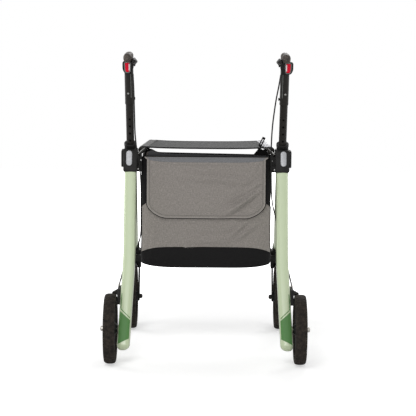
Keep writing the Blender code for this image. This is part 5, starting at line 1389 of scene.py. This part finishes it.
@dataclass(frozen=True)
class Brake:
    """Bracket on the leg, arm with its shoe, and the cable from the handle."""

    pivot: Pair = (-0.142, 0.190)
    outer_x: float = 0.2520
    inner_x: float = 0.2415
    shoe_angle: float = math.radians(30)
    shoe_gap: float = 0.0070
    arm: float = 0.0045
    cable_radius: float = 0.0020
    cable_step: float = 0.0115
    routes: dict[Side, tuple[Place, ...]] = field(default_factory=lambda: {
        Side.RIGHT: (
            (0.2080, -0.1700, 0.8209), (0.2055, -0.1735, 0.8060), (0.2015, -0.1750, 0.7830),
            (0.1950, -0.1720, 0.7460), (0.1880, -0.1640, 0.6880), (0.1856, -0.1480, 0.6450),
            (0.1856, -0.1250, 0.6060), (0.1868, -0.1100, 0.5600), (0.1880, -0.1010, 0.5050),
            (0.1900, -0.0960, 0.4600), (0.1965, -0.0940, 0.4220), (0.2070, -0.0970, 0.3850),
            (0.2190, -0.1060, 0.3450), (0.2290, -0.1200, 0.3020), (0.2375, -0.1340, 0.2600),
            (0.2440, -0.1430, 0.2320), (0.2480, -0.1480, 0.2150), (0.2490, -0.1480, 0.2087)),
        Side.LEFT: (
            (0.2080, -0.1700, 0.8209), (0.2072, -0.1730, 0.8060), (0.2060, -0.1710, 0.7830),
            (0.2052, -0.1640, 0.7460), (0.2044, -0.1520, 0.6930), (0.2036, -0.1390, 0.6500),
            (0.2000, -0.1250, 0.6050), (0.1930, -0.1120, 0.5600), (0.1888, -0.1000, 0.5050),
            (0.1884, -0.0920, 0.4500), (0.1884, -0.0880, 0.4000), (0.1892, -0.0880, 0.3550),
            (0.1950, -0.0920, 0.3240), (0.2080, -0.1040, 0.3000), (0.2250, -0.1210, 0.2780),
            (0.2375, -0.1340, 0.2530), (0.2440, -0.1425, 0.2290), (0.2480, -0.1480, 0.2150),
            (0.2490, -0.1480, 0.2087))})

    def cable(self, bench: Bench, side: Side) -> None:
        """The brake cable: a round curve from the housing to the bracket, of its real length."""
        points = smooth_path(self.routes[side], self.cable_step) * (side.value, 1, 1)
        curve = bpy.data.curves.new("cable_" + side.word, "CURVE")
        curve.dimensions = "3D"
        spline = curve.splines.new("POLY")
        spline.points.add(len(points) - 1)
        spline.points.foreach_set("co", np.column_stack([points, np.ones(len(points))]).ravel())
        curve.bevel_depth = self.cable_radius
        curve.bevel_resolution = 3
        curve.use_fill_caps = True
        made = bpy.data.objects.new("cable_" + side.word, curve)
        bpy.context.scene.collection.objects.link(made)
        bench.paint(made, PLASTIC)
        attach(made, body_of("frame", side))
        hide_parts("brake_cable_" + side.word)

    def build(self, bench: Bench, side: Side) -> None:
        """Make bracket, arm and shoe for one side."""
        pivot = np.array((0, *self.pivot))
        front = self.pivot[0] + 0.008
        outline = [(-0.214, 0.166), (-0.196, 0.166), (front, 0.176), (front, 0.208), (-0.198, 0.208)]
        bracket = plate(rounded(outline, 0.006), self.inner_x, self.outer_x, 0.0022)
        pin = rod(pivot + X * 0.248, pivot + X * (self.outer_x + 0.0048), 0.0035)
        nut = dome(pivot + X * (self.outer_x + 0.0048), X, 0.0055, 0.0030, 0.002)
        ferrule = rod((0.2489, -0.148, 0.2135), (0.2490, -0.148, 0.2065), 0.0032, 0.0006, 20)
        bench.piece("brake_plate", [bracket], PLASTIC, "frame", ["brake_bracket"], side)
        bench.piece("brake_pin", [pin, nut, ferrule], STEEL, "frame", [], side)
        outward = np.array((0, math.sin(self.shoe_angle), math.cos(self.shoe_angle)))
        forward = np.array((0, math.cos(self.shoe_angle), -math.sin(self.shoe_angle)))
        shoe = PLAN.rear_axle() + outward * (PLAN.wheel_radius + self.shoe_gap)
        inner = self.outer_x + 0.0003
        pad = [(0, -0.0035), (0.0155, -0.0035), (0.0155, -0.0004), (0.0045, 0.0060), (0, 0.0072)]
        pad = prism(rounded(pad, 0.0014), shoe + X * inner, X, outward, -0.011, 0.011, 0.0012)
        heel, toe = shoe - forward * 0.0055 + outward * 0.0030, shoe + forward * 0.0022 - outward * 0.0020
        angle = np.linspace(math.radians(-100), math.radians(80), 14)
        boss = pivot[1:] + 0.008 * together(np.cos(angle), np.sin(angle))
        arm = np.concatenate([boss, heel[None, 1:], toe[None, 1:]])
        arm = plate(arm, inner, inner + self.arm, 0.0012)
        bench.piece("brake_arm_and_shoe", [pad, arm], TUBE, "brake", ["brake_arm"], side)


# Cross brace


@dataclass(frozen=True)
class Brace:
    """Two crossed bars with their bolts."""

    width: float = 0.018
    thickness: float = 0.012
    spacing: float = 0.003
    end_head: Place = (0.0068, 0.0030, 0.0022)
    centre_head: Place = (0.0078, 0.0034, 0.0024)

    def bar(self, sign: int, layer: int) -> list[Patch]:
        """The bar from the low pivot on one side to the top pivot on the other, with its bolts."""
        _, normal = PLAN.brace_frame()
        low = PLAN.brace_point(sign * PLAN.brace_half, 0.0)
        top = PLAN.brace_point(-sign * PLAN.brace_half, 1.0)
        along = unit(top - low)
        across = np.cross(along, normal)
        outline = stadium(float(np.linalg.norm(top - low)) + self.width, self.width)
        face = layer * (self.spacing / 2 + self.thickness)
        near, far = sorted((layer * self.spacing / 2, face))
        bar = prism(outline, (low + top) / 2, across, along, near, far, 0.0030)
        bolts = [dome(at + normal * face, normal * layer, *self.end_head) for at in (low, top)]
        return [bar, *bolts]

    def build(self, bench: Bench) -> None:
        """Make both bars and the centre bolt."""
        bench.piece("brace_bar_front", self.bar(-1, 1), TUBE, "brace_a", ["brace_bar_a"])
        bench.piece("brace_bar_rear", self.bar(1, -1), TUBE, "brace_b", ["brace_bar_b"])
        _, normal = PLAN.brace_frame()
        centre = PLAN.brace_point(0.0, 0.5)
        face = self.spacing / 2 + self.thickness
        bolt = [rod(centre - normal * face, centre + normal * face, 0.004)]
        bolt += [dome(centre + normal * sign * face, normal * sign, *self.centre_head)
                 for sign in (-1, 1)]
        bench.piece("brace_centre_bolt", bolt, STEEL, "brace_a", ["centre_bolt"])


# Seat


@dataclass(frozen=True)
class Seat:
    """Two rails with bent tips, the mesh sling with its piping and side hems, and the pull tab."""

    radius: float = 0.0075
    cap_radius: float = 0.0098
    end_radius: float = 0.0086
    back_y: float = -0.048
    front_y: float = 0.124
    sag: float = 0.0040
    cloth: float = 0.0018
    hem_reach: float = 0.017
    lift: float = 0.0014

    def surface(self, x: Array, y: Array) -> Array:
        """The cloth's height: level with the rails' tops, sagging between them.

        Args:
            x, y: Places on the seat.

        Returns:
            Rail top + lift - sag (1 - (x / rail x)^3), with faint cross ripples near the hems.
        """
        rail = PLAN.rail(y)
        reach = np.clip(np.abs(x) / rail[..., 0], 0, 1)
        ripple = 0.0005 * np.sin(y * 210 + x * 30) * reach**4
        return PLAN.rail_z + self.radius + self.lift - self.sag * (1 - reach**3) + ripple

    def build_rail(self, bench: Bench, side: Side) -> None:
        """Rail with its cap, bent tip, lug and pin."""
        layer = -side.layer
        rail = PLAN.rail(np.array((self.back_y - 0.003, 0.126)))
        cap_at = PLAN.rail(np.array((-0.0540, -0.0492)))
        tube = rod(*rail, self.radius, 0.0012)
        cap = rod(*cap_at, self.cap_radius, 0.0016)
        front = PLAN.rail(np.array((0.1255, 0.130)))
        end = rod(*front, self.end_radius, 0.0016)
        rise, normal = PLAN.brace_frame()
        pin = PLAN.brace_point(PLAN.brace_half, 1.0)
        top = (PLAN.rail_z - pin[2]) / rise[2]
        outline = rounded([(0.009, -0.009), (0.009, 0.006), (0.0045, 0.012), (0.004, top), (-0.004, top),
                           (-0.0045, 0.012), (-0.009, 0.006), (-0.009, -0.009)], 0.0035)
        lug = brace_lug(outline, pin, layer)
        bolt = rod(pin - normal * (layer * 0.006), pin + normal * (layer * 0.0135), 0.0038)
        patches = [tube, cap, end, lug, bolt]
        bench.piece("rail_tube", patches, TUBE, "rail", ["seat_rail"], side)
        path = smooth_path([(0.1790, -0.0480, 0.5950), (0.1850, -0.0600, 0.5910),
                            (0.1915, -0.0735, 0.5862), (0.1975, -0.0850, 0.5812)], 0.003)
        bench.piece("rail_tip", [strand(path, 0.0078, 0.0078, 2, 24, Z)], TUBE, "rail", [], side)
        # A steel-grey strip along the top of the dark tip is a painted highlight.
        top_highlight = path + (0, -0.0014, 0.0034)
        bench.piece("rail_tip_wear", [strand(top_highlight, 0.0030, 0.0014, 2, 12, Z)], DULL_STEEL_AND_HIGHLIGHT, "rail", [],
                    side)

    def sling(self) -> Patch:
        """The mesh between the hems."""
        y = np.linspace(self.back_y, self.front_y, 60)
        share = np.linspace(-1, 1, 121)[None]
        half = PLAN.rail(y)[:, :1] - 0.004
        x = half * share
        grid = together(x, y[:, None], self.surface(x, y[:, None]))
        return Patch(grid)

    def build(self, bench: Bench) -> None:
        """Make rails, sling, hems, piping and tab."""
        for side in Side:
            self.build_rail(bench, side)
        sling = bench.piece("seat_mesh_sling", [self.sling()], SEAT_CLOTH, "rail_left", ["seat_sling"],
                            thick=self.cloth)
        edges = []
        for y in (self.back_y, self.front_y):
            x = np.linspace(-1, 1, 90) * (PLAN.rail(np.array(y))[0] - 0.012)
            path = together(x, y, self.surface(x, np.full_like(x, y)))
            edges.append(strand(path, 0.0034, 0.0040, 2.5, 16, Z))
        piping = bench.piece("seat_piping", edges, BLACK_CLOTH_AND_SHADE, "rail_left")
        y = np.linspace(self.back_y + 0.0005, self.front_y, 70)
        for side in Side:
            rail = PLAN.rail(y)
            reach = np.linspace(0, 1, 14)[None]
            x = rail[:, :1] - self.hem_reach * (1 - reach)
            z = self.surface(x, y[:, None]) + self.lift
            crinkle = 0.0012 if side is Side.RIGHT else 0.0003
            wave = np.sin(y[:, None] * 190 + x * 260) + 0.6 * np.sin(y[:, None] * 330 - x * 190)
            z = z + crinkle * wave * np.sin(np.pi * reach)
            flat = together(x, y[:, None], z)
            angle = np.linspace(np.pi / 2, -np.pi * 0.55, 26)[None, 1:]
            radius = self.radius + 0.0027 + 0.0003 * np.sin(y[:, None] * 210 + 2 * angle)
            over = together(rail[:, :1] + radius * np.cos(angle), y[:, None],
                            PLAN.rail_z + radius * np.sin(angle))
            # The hems' light tones, the right one much paler, are partly painted sheen.
            cloth = PALE_HEM_SHEEN_CLOTH if side is Side.RIGHT else HEM_SHEEN_CLOTH
            bench.piece("seat_hem", [Patch(np.concatenate([flat, over], 1))], cloth, "rail",
                                    [], side, thick=0.0011)
        for soft in (sling, piping):
            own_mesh(soft)
        self.build_tab(bench)

    def build_tab(self, bench: Bench) -> None:
        """The webbing pull tab: a flat strip with a slot through it."""
        lean = math.radians(26)
        base = np.array((0.1545, -0.038, 0.6018))
        above = np.array((math.sin(lean), 0, math.cos(lean)))
        across = np.array((math.cos(lean), 0, -math.sin(lean)))
        outline = rectangle((-0.0046, 0.0046), (0, 0.031), 0.0016)
        slot = rectangle((-0.0013, 0.0013), (0.006, 0.0245), 0.0010)
        tab = prism(outline, base, across, above, -0.0016, 0.0016, 0.0009)
        hole = prism(slot, base, across, above, -0.01, 0.01, 0.0)
        bench.piece("seat_pull_tab", [tab], BLACK_CLOTH_AND_SHADE, "rail_right", ["pull_tab"], cuts=[hole])


# Bag


@dataclass(frozen=True)
class Bag:
    """The shopping bag: grey panels, black gussets, bottom and lining, flap, seams and straps."""

    half: float = 0.1910
    height: float = 0.28
    back_y: float = -0.0700
    top_y: float = 0.0120
    low_y: float = 0.0600
    top_z: float = 0.5735
    rise: Pair = (0.0033, 0.0160)
    seam_z: float = 0.3070
    seam_drop: float = 0.019
    strap_pull: tuple[float, float, float] = (0.0100, 0.87, 0.075)
    corner_dip: tuple[float, float, float] = (0.0180, 0.925, 0.05)
    low_z: float = 0.2430
    lean_z: float = 0.246
    squareness: float = 7.0
    cloth: float = 0.0014
    lining: float = 0.0090
    step_z: float = 0.436
    step: float = 0.012
    far_reach: float = 0.215
    gusset_turn: float = 1.035
    panel_reach: Pair = (0.2165, 0.1200)
    flap_half: float = 0.1716
    flap_z: float = 0.3985
    flap_top: float = 0.5730
    straps: tuple[tuple[float, tuple[Place, ...]], ...] = (
        (0.0075, ((-0.1730, 0.004, 0.5930), (-0.1700, 0.003, 0.5870), (-0.1660, 0.003, 0.5800),
                  (-0.1595, 0.003, 0.5710), (-0.1550, 0.004, 0.5600))),
        (0.0240, ((0.1640, 0.004, 0.5890), (0.1590, 0.003, 0.5800), (0.1500, 0.002, 0.5690),
                  (0.1450, 0.003, 0.5600))),
        (0.0120, ((0.1690, 0.006, 0.5890), (0.1730, 0.006, 0.5800), (0.1790, 0.006, 0.5690),
                  (0.1820, 0.005, 0.5600))))
    flap_corner: Pair = (0.0540, 0.0400)
    folds: tuple[tuple[float, float, float, float, float, float], ...] = (
        (0.075, 0.345, 44, 0.055, 0.0125, 0.0090), (0.040, 0.338, 46, 0.050, 0.0115, 0.0085),
        (0.004, 0.334, 46, 0.045, 0.0115, 0.0065), (0.112, 0.352, 38, 0.045, 0.0120, 0.0070),
        (-0.100, 0.350, -42, 0.070, 0.014, 0.0016), (0.150, 0.400, 38, 0.050, 0.010, 0.0018),
        (-0.155, 0.330, 80, 0.050, 0.010, 0.0012))
    flap_folds: tuple[tuple[float, float, float, float, float, float], ...] = (
        (0.112, 0.448, 38, 0.060, 0.0120, 0.0085), (0.075, 0.428, 30, 0.055, 0.0120, 0.0060),
        (0.140, 0.490, 34, 0.035, 0.0100, 0.0050), (0.030, 0.512, -4, 0.120, 0.018, 0.0060),
        (-0.120, 0.545, -62, 0.030, 0.010, 0.0012), (0.140, 0.540, 66, 0.030, 0.008, 0.0012),
        (-0.020, 0.5560, 0, 0.170, 0.0075, 0.0016), (-0.090, 0.440, -25, 0.060, 0.014, 0.0014),
        (0.095, 0.425, 22, 0.040, 0.008, 0.0014), (-0.045, 0.530, -8, 0.070, 0.012, 0.0012))

    @staticmethod
    def creases(x: Array, z: Array, folds: Sequence[Sequence[float]]) -> Array:
        """Soft creases.

        Args:
            x, z: Places on the cloth.
            folds: Middle x and z, angle in degrees, half length, half width and height of each.

        Returns:
            The sum of height (1 - 2 w^2) exp(-w^2 - l^2), with l and w along and across each.
        """
        total = np.zeros(np.broadcast(x, z).shape)
        for at_x, at_z, degrees, length, width, height in folds:
            turn = math.radians(degrees)
            along = ((x - at_x) * math.cos(turn) + (z - at_z) * math.sin(turn)) / length
            across = (-(x - at_x) * math.sin(turn) + (z - at_z) * math.cos(turn)) / width
            total = total + height * (1 - 2 * across**2) * np.exp(-(across**2) - along**2)
        return total

    def wall(self, turn: Array, level: Array, inset: float = 0.0) -> Array:
        """The bag's wall.

        Args:
            turn: Round the bag: 0 at the right, a quarter at the far side, three quarters at the rear.
            level: 0 at the bottom seam, 1 at the rim.
            inset: How far inside the wall.

        Returns:
            A squarish superellipse at each height, that bulges low down, hangs in between its
            corners, and is creased at the rear; its far rim slants down to the right, is drawn up
            by the left strap (strap_pull: height, place, width) and dips beside it (corner_dip).
        """
        turn, level = np.broadcast_arrays(turn, level)
        c, s = np.cos(2 * np.pi * turn), np.sin(2 * np.pi * turn)
        flat_u = signed_power(c, 2 / self.squareness)
        flat_v = signed_power(s, 2 / self.squareness)
        seam = self.seam_z - self.seam_drop * np.abs(flat_u) ** 7
        pull, pulled, reach = self.strap_pull
        dip, dipped, slope = self.corner_dip
        rise = self.rise[0] - self.rise[1] * (flat_u * self.half + self.half)
        rise = rise + pull * np.exp(-(((flat_u + pulled) / reach) ** 2))
        rise = rise - dip * ease((-flat_u - dipped) / slope)
        z = seam + level * (self.top_z - seam) + level * rise * (flat_v + 1) / 2
        share = (z - self.lean_z) / (self.top_z - self.lean_z)
        front = self.low_y + share * (self.top_y - self.low_y)
        middle, depth = (front + self.back_y) / 2, (front - self.back_y) / 2
        x = flat_u * (self.half - inset)
        y = middle + flat_v * (depth - inset)
        centre = 1 - np.abs(x / self.half) ** 3
        swell = 0.0045 * np.sin(np.pi * np.clip(1 - level, 0, 1) ** 0.8)
        swell = swell - 0.0035 * ease((level - 0.5) / 0.5)
        move = swell * centre + self.creases(x, z, self.folds) * ease((0.98 - level) / 0.2)
        y = y + np.sign(flat_v) * move * ease((np.abs(flat_v) - 0.5) / 0.4)
        x = x - np.sign(x) * 0.003 * np.sin(np.pi * level**0.576) * ease((np.abs(flat_u) - 0.8) / 0.2)
        return together(x, y, z)

    def boundary(self, level: Array) -> Array:
        """Where the grey rear panel ends, as a share of a turn from the rear's middle."""
        z = self.seam_z + level * (self.top_z - self.seam_z)
        wide, narrow = self.panel_reach
        return wide + (narrow - wide) * ease((z - self.step_z) / self.step)

    def build(self, bench: Bench) -> None:
        """Make every piece of the bag."""
        level = np.linspace(0, 1, 76)[:, None]
        across = np.linspace(-1, 1, 161)[None]
        reach = self.boundary(level)
        rear = self.wall(0.75 + across * reach, level)
        far = self.wall(0.25 + across * self.far_reach, level)
        grey = bench.piece("bag_panels", [Patch(rear), Patch(far)], GREY_CLOTH, "left_frame",
                           ["bag_body"], thick=self.cloth)
        side = np.linspace(0, 1, 60)[None]
        left_over = side * (self.gusset_turn - 0.75 - reach)
        right = self.wall(0.75 + reach + left_over, level, 0.0004)
        left = self.wall(0.75 - reach - left_over, level, 0.0004)
        gussets = bench.piece("bag_gussets", [Patch(right), Patch(left)], BLACK_CLOTH_AND_SHADE, "left_frame",
                              thick=self.cloth)
        whole = np.linspace(0, 1, 193)[None]
        lining = self.wall(whole, level, self.lining)
        lining = bench.piece("bag_lining", [Patch(lining), Patch(self.hull(self.lining))], LINING,
                             "left_frame", thick=0.0008)
        bottom = bench.piece("bag_base", [Patch(self.hull(0.0))], BLACK_CLOTH_AND_SHADE, "left_frame",
                             ["bag_bottom"], thick=0.0016)
        rim = self.wall(whole[0, :-1], np.ones(192), 0.0008)
        seam = self.wall(whole[0, :-1], np.full(192, 0.004), -0.0006)
        trims = [Patch(sweep(rim, superellipse(0.0042, 0.0056, 3, 16), Z, ring=True))]
        seams = [Patch(sweep(seam, superellipse(0.0026, 0.0026, 2, 12), Z, ring=True))]
        for sign in (-1, 1):
            edge = self.wall(0.75 + sign * self.boundary(level[:, 0]), level[:, 0], -0.0010)
            seams.append(strand(edge, 0.0034, 0.0034, 2, 12, X * 0.4 + Y))
        binding = bench.piece("bag_binding", trims, BLACK_CLOTH_AND_SHADE, "left_frame")
        piping = bench.piece("bag_piping", seams, BLACK_CLOTH_AND_SHADE, "left_frame")
        cover = self.build_flap(bench)
        straps = self.build_straps(bench)
        for soft in (grey, gussets, lining, bottom, binding, piping, straps):
            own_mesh(soft)
        for soft in cover:
            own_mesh(soft)

    def hull(self, inset: float) -> Array:
        """The bottom, like a boat's hull between the wall's rear and far seams.

        Args:
            inset: How far inside the bottom's own skin.

        Returns:
            At each x, a squarish U of power 5.6 between the two seams, deepest in the middle.
        """
        share = np.linspace(0, 0.5, 97)[None]
        far, rear = self.wall(share, 0 * share, inset), self.wall(1 - share, 0 * share, inset)
        angle = np.linspace(np.pi, 0, 41)[:, None]
        c, s = np.cos(angle), np.sin(angle)
        low = self.low_z + 0.0120 * np.abs(far[..., 0] / self.half) ** 5 + inset
        middle, depth = (far[..., 1] + rear[..., 1]) / 2, (far[..., 1] - rear[..., 1]) / 2
        y = middle + depth * signed_power(c, 0.36)
        z = far[..., 2] + (low - far[..., 2]) * np.abs(s) ** 0.36
        x = far[..., 0] * (1 - 0.012 * np.abs(s) ** 0.6)
        return together(x, y, z)

    def flap_grid(self, across: Array, turn: Array, inset: float = 0.0, lift: float = 0.0) -> Array:
        """The flap's cloth.

        Args:
            across: -1 at the left edge, 1 at the right one.
            turn: 0 at the rim, 1 where the lower corners start, 2 at the lower edge.
            inset: How far inside the flap's outline.
            lift: How far out of the cloth.

        Returns:
            A hanging sheet that swells, stands off the bag at its lower edge and rolls over the
            rim at its top. From turn 1 to 2 the height goes by sin(a)^1.25, the width by cos(a)^1.25.
        """
        across, turn = np.broadcast_arrays(across, turn)
        wide, tall = (size - inset for size in self.flap_corner)
        start = self.flap_z + self.flap_corner[1]
        angle = np.clip(turn - 1, 0, 1) * np.pi / 2
        z = self.flap_top + (start - self.flap_top) * np.clip(turn, 0, 1) - tall * np.sin(angle) ** 1.25
        down = (self.flap_top - z) / (self.flap_top - self.flap_z)
        half = self.flap_half - inset + 0.008 * ease((0.03 - down) / 0.03)
        half = half - wide * (1 - np.abs(np.cos(angle)) ** 1.25)
        x = across * half
        sagging = 0.0016 * (1 - (x / self.flap_half) ** 2) * ease((down - 0.8) / 0.2)
        bulge = 0.0030 * np.sin(np.pi * np.clip(down, 0, 1) ** 1.4)
        bulge = bulge * (1 - np.abs(x / self.flap_half) ** 4)
        top = 0.0050 * np.clip((0.045 - down) / 0.045, 0, 1) ** 2
        off = 0.0045 + 0.0075 * ease((down - 0.1) / 0.9)
        y = self.back_y - off - bulge - lift - self.creases(x, z, self.flap_folds) + top
        return together(x, y, z - sagging)

    def flap_outline(self, inset: float, lift: float) -> Array:
        """Down the flap's right edge, along its lower one and up its left one."""
        turn = np.linspace(0, 2, 120)
        right = self.flap_grid(np.ones(120), turn, inset, lift)
        low = self.flap_grid(np.linspace(1, -1, 120)[1:-1], np.full(118, 2.0), inset, lift)
        left = self.flap_grid(-np.ones(120), turn[::-1], inset, lift)
        return np.concatenate([right, low, left])

    def build_flap(self, bench: Bench) -> tuple[Object, ...]:
        """The flap with its rolled edge in a lighter, painted-highlight cloth, a black strip under it as
        painted shadow, a row of stitches and a darker top strip of painted shade.
        """
        turn = np.concatenate([np.linspace(0, 1, 80)[:-1], np.linspace(1, 2, 26)])[:, None]
        across = np.linspace(-1, 1, 161)[None]
        flap = bench.piece("bag_cover", [Patch(self.flap_grid(across, turn))], GREY_CLOTH, "flap",
                           ["bag_flap"], thick=0.0020)
        # The rolled edge gets a lighter copy of the flap's cloth, a painted highlight.
        edge = respaced(self.flap_outline(0.0012, -0.0001), 0.004)
        fold = bench.piece("cover_folded_edge", [strand(edge, 0.0034, 0.0026, 2.6, 14)], LIT_FOLD_CLOTH,
                           "flap")
        # A black strip just behind and outside the flap's edge paints the shadow under it.
        under = respaced(self.flap_outline(-0.0008, -0.0024), 0.004)
        shadow_line = bench.piece("cover_facing", [strand(under, 0.0042, 0.0014, 2.6, 10)], BLACK_CLOTH_AND_SHADE,
                             "flap")
        seam = respaced(self.flap_outline(0.0072, 0.0012), 0.0042)
        stitches = bench.piece("cover_stitches", [self.stitched(seam)], THREAD, "flap")
        # A darker bluish strip across the flap's top paints the shade under the seat's front edge.
        share = np.linspace(0, 1, 8)[:, None]
        shade_band = self.flap_grid(across * 0.965, share * (0.100 - 0.045 * np.abs(across) ** 6), 0.0, 0.0016)
        shade_band = bench.piece("cover_top_band", [Patch(shade_band)], SHADE_BAND_CLOTH, "flap", thick=0.0008)
        return flap, fold, shadow_line, stitches, shade_band

    @staticmethod
    def stitched(seam: Array) -> Patch:
        """A thread that dips into the cloth between its stitches."""
        fine = respaced(seam, 0.00105)
        phase = np.arange(len(fine)) % 4
        fine = fine + Y * np.where(phase == 3, 0.0009, 0.0)[:, None]
        return strand(fine, 0.0013, 0.0008, 2, 6)

    def build_straps(self, bench: Bench) -> Object:
        """Webbing from each rail's inner side down to the bag's far rim."""
        patches = [strand(smooth_path(path, 0.003), 0.0016, width, 6, 20, X)
                   for width, path in self.straps]
        return bench.piece("bag_straps", patches, BLACK_CLOTH_AND_SHADE, "left_frame")


# Studio


def seen_directly(tree: bpy.types.NodeTree) -> Socket:
    """1 for rays from the camera, or through glass or a mirror, and 0 for the light's own."""
    path = tree.nodes.new("ShaderNodeLightPath")
    socket = path.outputs["Is Camera Ray"]
    for name in ("Is Glossy Ray", "Is Transmission Ray"):
        larger = tree.nodes.new("ShaderNodeMath")
        larger.operation = "MAXIMUM"
        tree.links.new(socket, larger.inputs[0])
        tree.links.new(path.outputs[name], larger.inputs[1])
        socket = larger.outputs[0]
    return socket


@dataclass(frozen=True)
class Studio:
    """Camera at the photograph's viewing angle, pale floor, soft lamps."""

    eye: Place = (0.0057, -4.705, 1.140)
    pitch: float = 8.77
    roll: float = 0.40
    focal: float = 1610 / 416 * 36
    floor_reach: float = 4.0
    floor_fade: Pair = (0.5, 1.6)
    floor_white: float = 0.17
    floor_lift: float = 1.80
    sky: float = 0.34
    lamps: tuple[tuple[str, Place, Place, float, float], ...] = (
        ("left_box", (-1.7, 0.2, 0.9), (0, 0, 0.42), 1.0, 11),
        ("right_box", (1.7, 0.2, 0.9), (0, 0, 0.42), 1.0, 6),
        ("front_box", (0.8, 3.4, 2.2), (0, 0, 0.45), 1.6, 34),
        ("key_box", (-0.6, -2.2, 2.5), (0, 0, 0.4), 1.0, 22),
        ("rear_box", (-0.3, -5.3, 1.2), (0, 0, 0.3), 1.8, 68))

    def build(self) -> None:
        """Set camera, world, floor and lamps."""
        scene = bpy.context.scene
        lens = bpy.data.cameras.new("camera")
        lens.sensor_width = 36
        lens.lens = self.focal
        camera = bpy.data.objects.new("camera", lens)
        scene.collection.objects.link(camera)
        tilt = Matrix.Rotation(math.radians(90 - self.pitch), 4, "X")
        camera.matrix_world = (Matrix.Translation(self.eye) @ tilt
                               @ Matrix.Rotation(math.radians(self.roll), 4, "Z"))
        scene.camera = camera
        scene.view_settings.view_transform = "Standard"
        self.build_world(scene)
        self.build_floor()
        for name, place, aim, size, power in self.lamps:
            lamp = bpy.data.lights.new(name, "AREA")
            lamp.shape = "DISK"
            lamp.size = size
            lamp.energy = power
            holder = bpy.data.objects.new(name, lamp)
            direction = np.array(aim) - np.array(place)
            scene.collection.objects.link(holder)
            holder.matrix_world = self.aimed(place, direction)

    @staticmethod
    def aimed(place: Sequence[float], direction: Array) -> Matrix:
        """A matrix at a place whose -Z looks along a direction."""
        ahead = -unit(direction)
        right = unit(np.cross(Z, ahead))
        above = np.cross(ahead, right)
        matrix = Matrix.Identity(4)
        for row in range(3):
            matrix[row][0], matrix[row][1], matrix[row][2] = right[row], above[row], ahead[row]
            matrix[row][3] = place[row]
        return matrix

    def build_world(self, scene: bpy.types.Scene) -> None:
        """A soft even sky that the camera, glass and metal see as white."""
        world = bpy.data.worlds.new("studio")
        scene.world = world
        world.use_nodes = True
        tree = world.node_tree
        tree.nodes.clear()
        seen = seen_directly(tree)
        mix = tree.nodes.new("ShaderNodeMixShader")
        out = tree.nodes.new("ShaderNodeOutputWorld")
        tree.links.new(seen, mix.inputs[0])
        for socket, strength in zip(mix.inputs[1:], (self.sky, 1.0)):
            shade = tree.nodes.new("ShaderNodeBackground")
            shade.inputs["Color"].default_value = (1, 1, 1, 1)
            shade.inputs["Strength"].default_value = strength
            tree.links.new(shade.outputs[0], socket)
        tree.links.new(mix.outputs[0], out.inputs["Surface"])

    def build_floor(self) -> None:
        """A pale floor that fades into the white backdrop with distance from the object."""
        reach = np.linspace(-self.floor_reach, self.floor_reach, 2)
        floor = mesh_object("floor", [Patch(together(reach[None], reach[:, None], 0.0))])
        graph = Graph("pale_floor")
        graph.shader.inputs["Base Color"].default_value = (0.90, 0.90, 0.90, 1)
        graph.set(Roughness=0.9)
        length = graph.add("ShaderNodeVectorMath", {0: graph.place()}, operation="LENGTH")
        share = graph.fade(length.outputs["Value"], *self.floor_fade, self.floor_white, 1.0)
        share = graph.math("MULTIPLY", share, seen_directly(graph.tree))
        camera = graph.add("ShaderNodeLightPath", {}).outputs["Is Camera Ray"]
        lift = graph.math("ADD", graph.math("MULTIPLY", camera, self.floor_lift), 1.0)
        white = graph.add("ShaderNodeEmission", {"Color": (1, 1, 1, 1), "Strength": lift})
        sockets = {0: share, 1: graph.shader.outputs[0], 2: white.outputs[0]}
        mix = graph.add("ShaderNodeMixShader", sockets)
        graph.tree.links.new(mix.outputs[0], graph.tree.nodes["Material Output"].inputs["Surface"])
        floor.data.materials.append(graph.material)


def main() -> None:
    """Build the studio and every sub-assembly, in order."""
    logging.basicConfig(level=logging.INFO, format="%(message)s")
    bench = Bench()
    Studio().build()
    for side in Side:
        Brake().cable(bench, side)
    rear = Wheel("rear", "rear_wheel", (PLAN.rear_x, PLAN.rear_axle_y, PLAN.wheel_radius),
                 RearAxle().hub_half, 0.0058)
    front = Wheel("front", "front_wheel", (PLAN.front_x, PLAN.front_axle_y, PLAN.wheel_radius),
                  0.0197, 0.0043)
    for side in Side:
        JointHead().build(bench, side)
        Brake().build(bench, side)
        rear.build(bench, side)
        front.build(bench, side)
        RearAxle().build(bench, side)
        Fork().build(bench, side)
        RearLeg().build(bench, side)
        FrontLeg().build(bench, side)
        CasterHead().build(bench, side)
        Handle().build(bench, side)
        BrakeLever().build(bench, side)
    Brace().build(bench)
    Seat().build(bench)
    Bag().build(bench)
    LOG.info("%d pieces", bench.count)


if __name__ == "__main__":
    main()
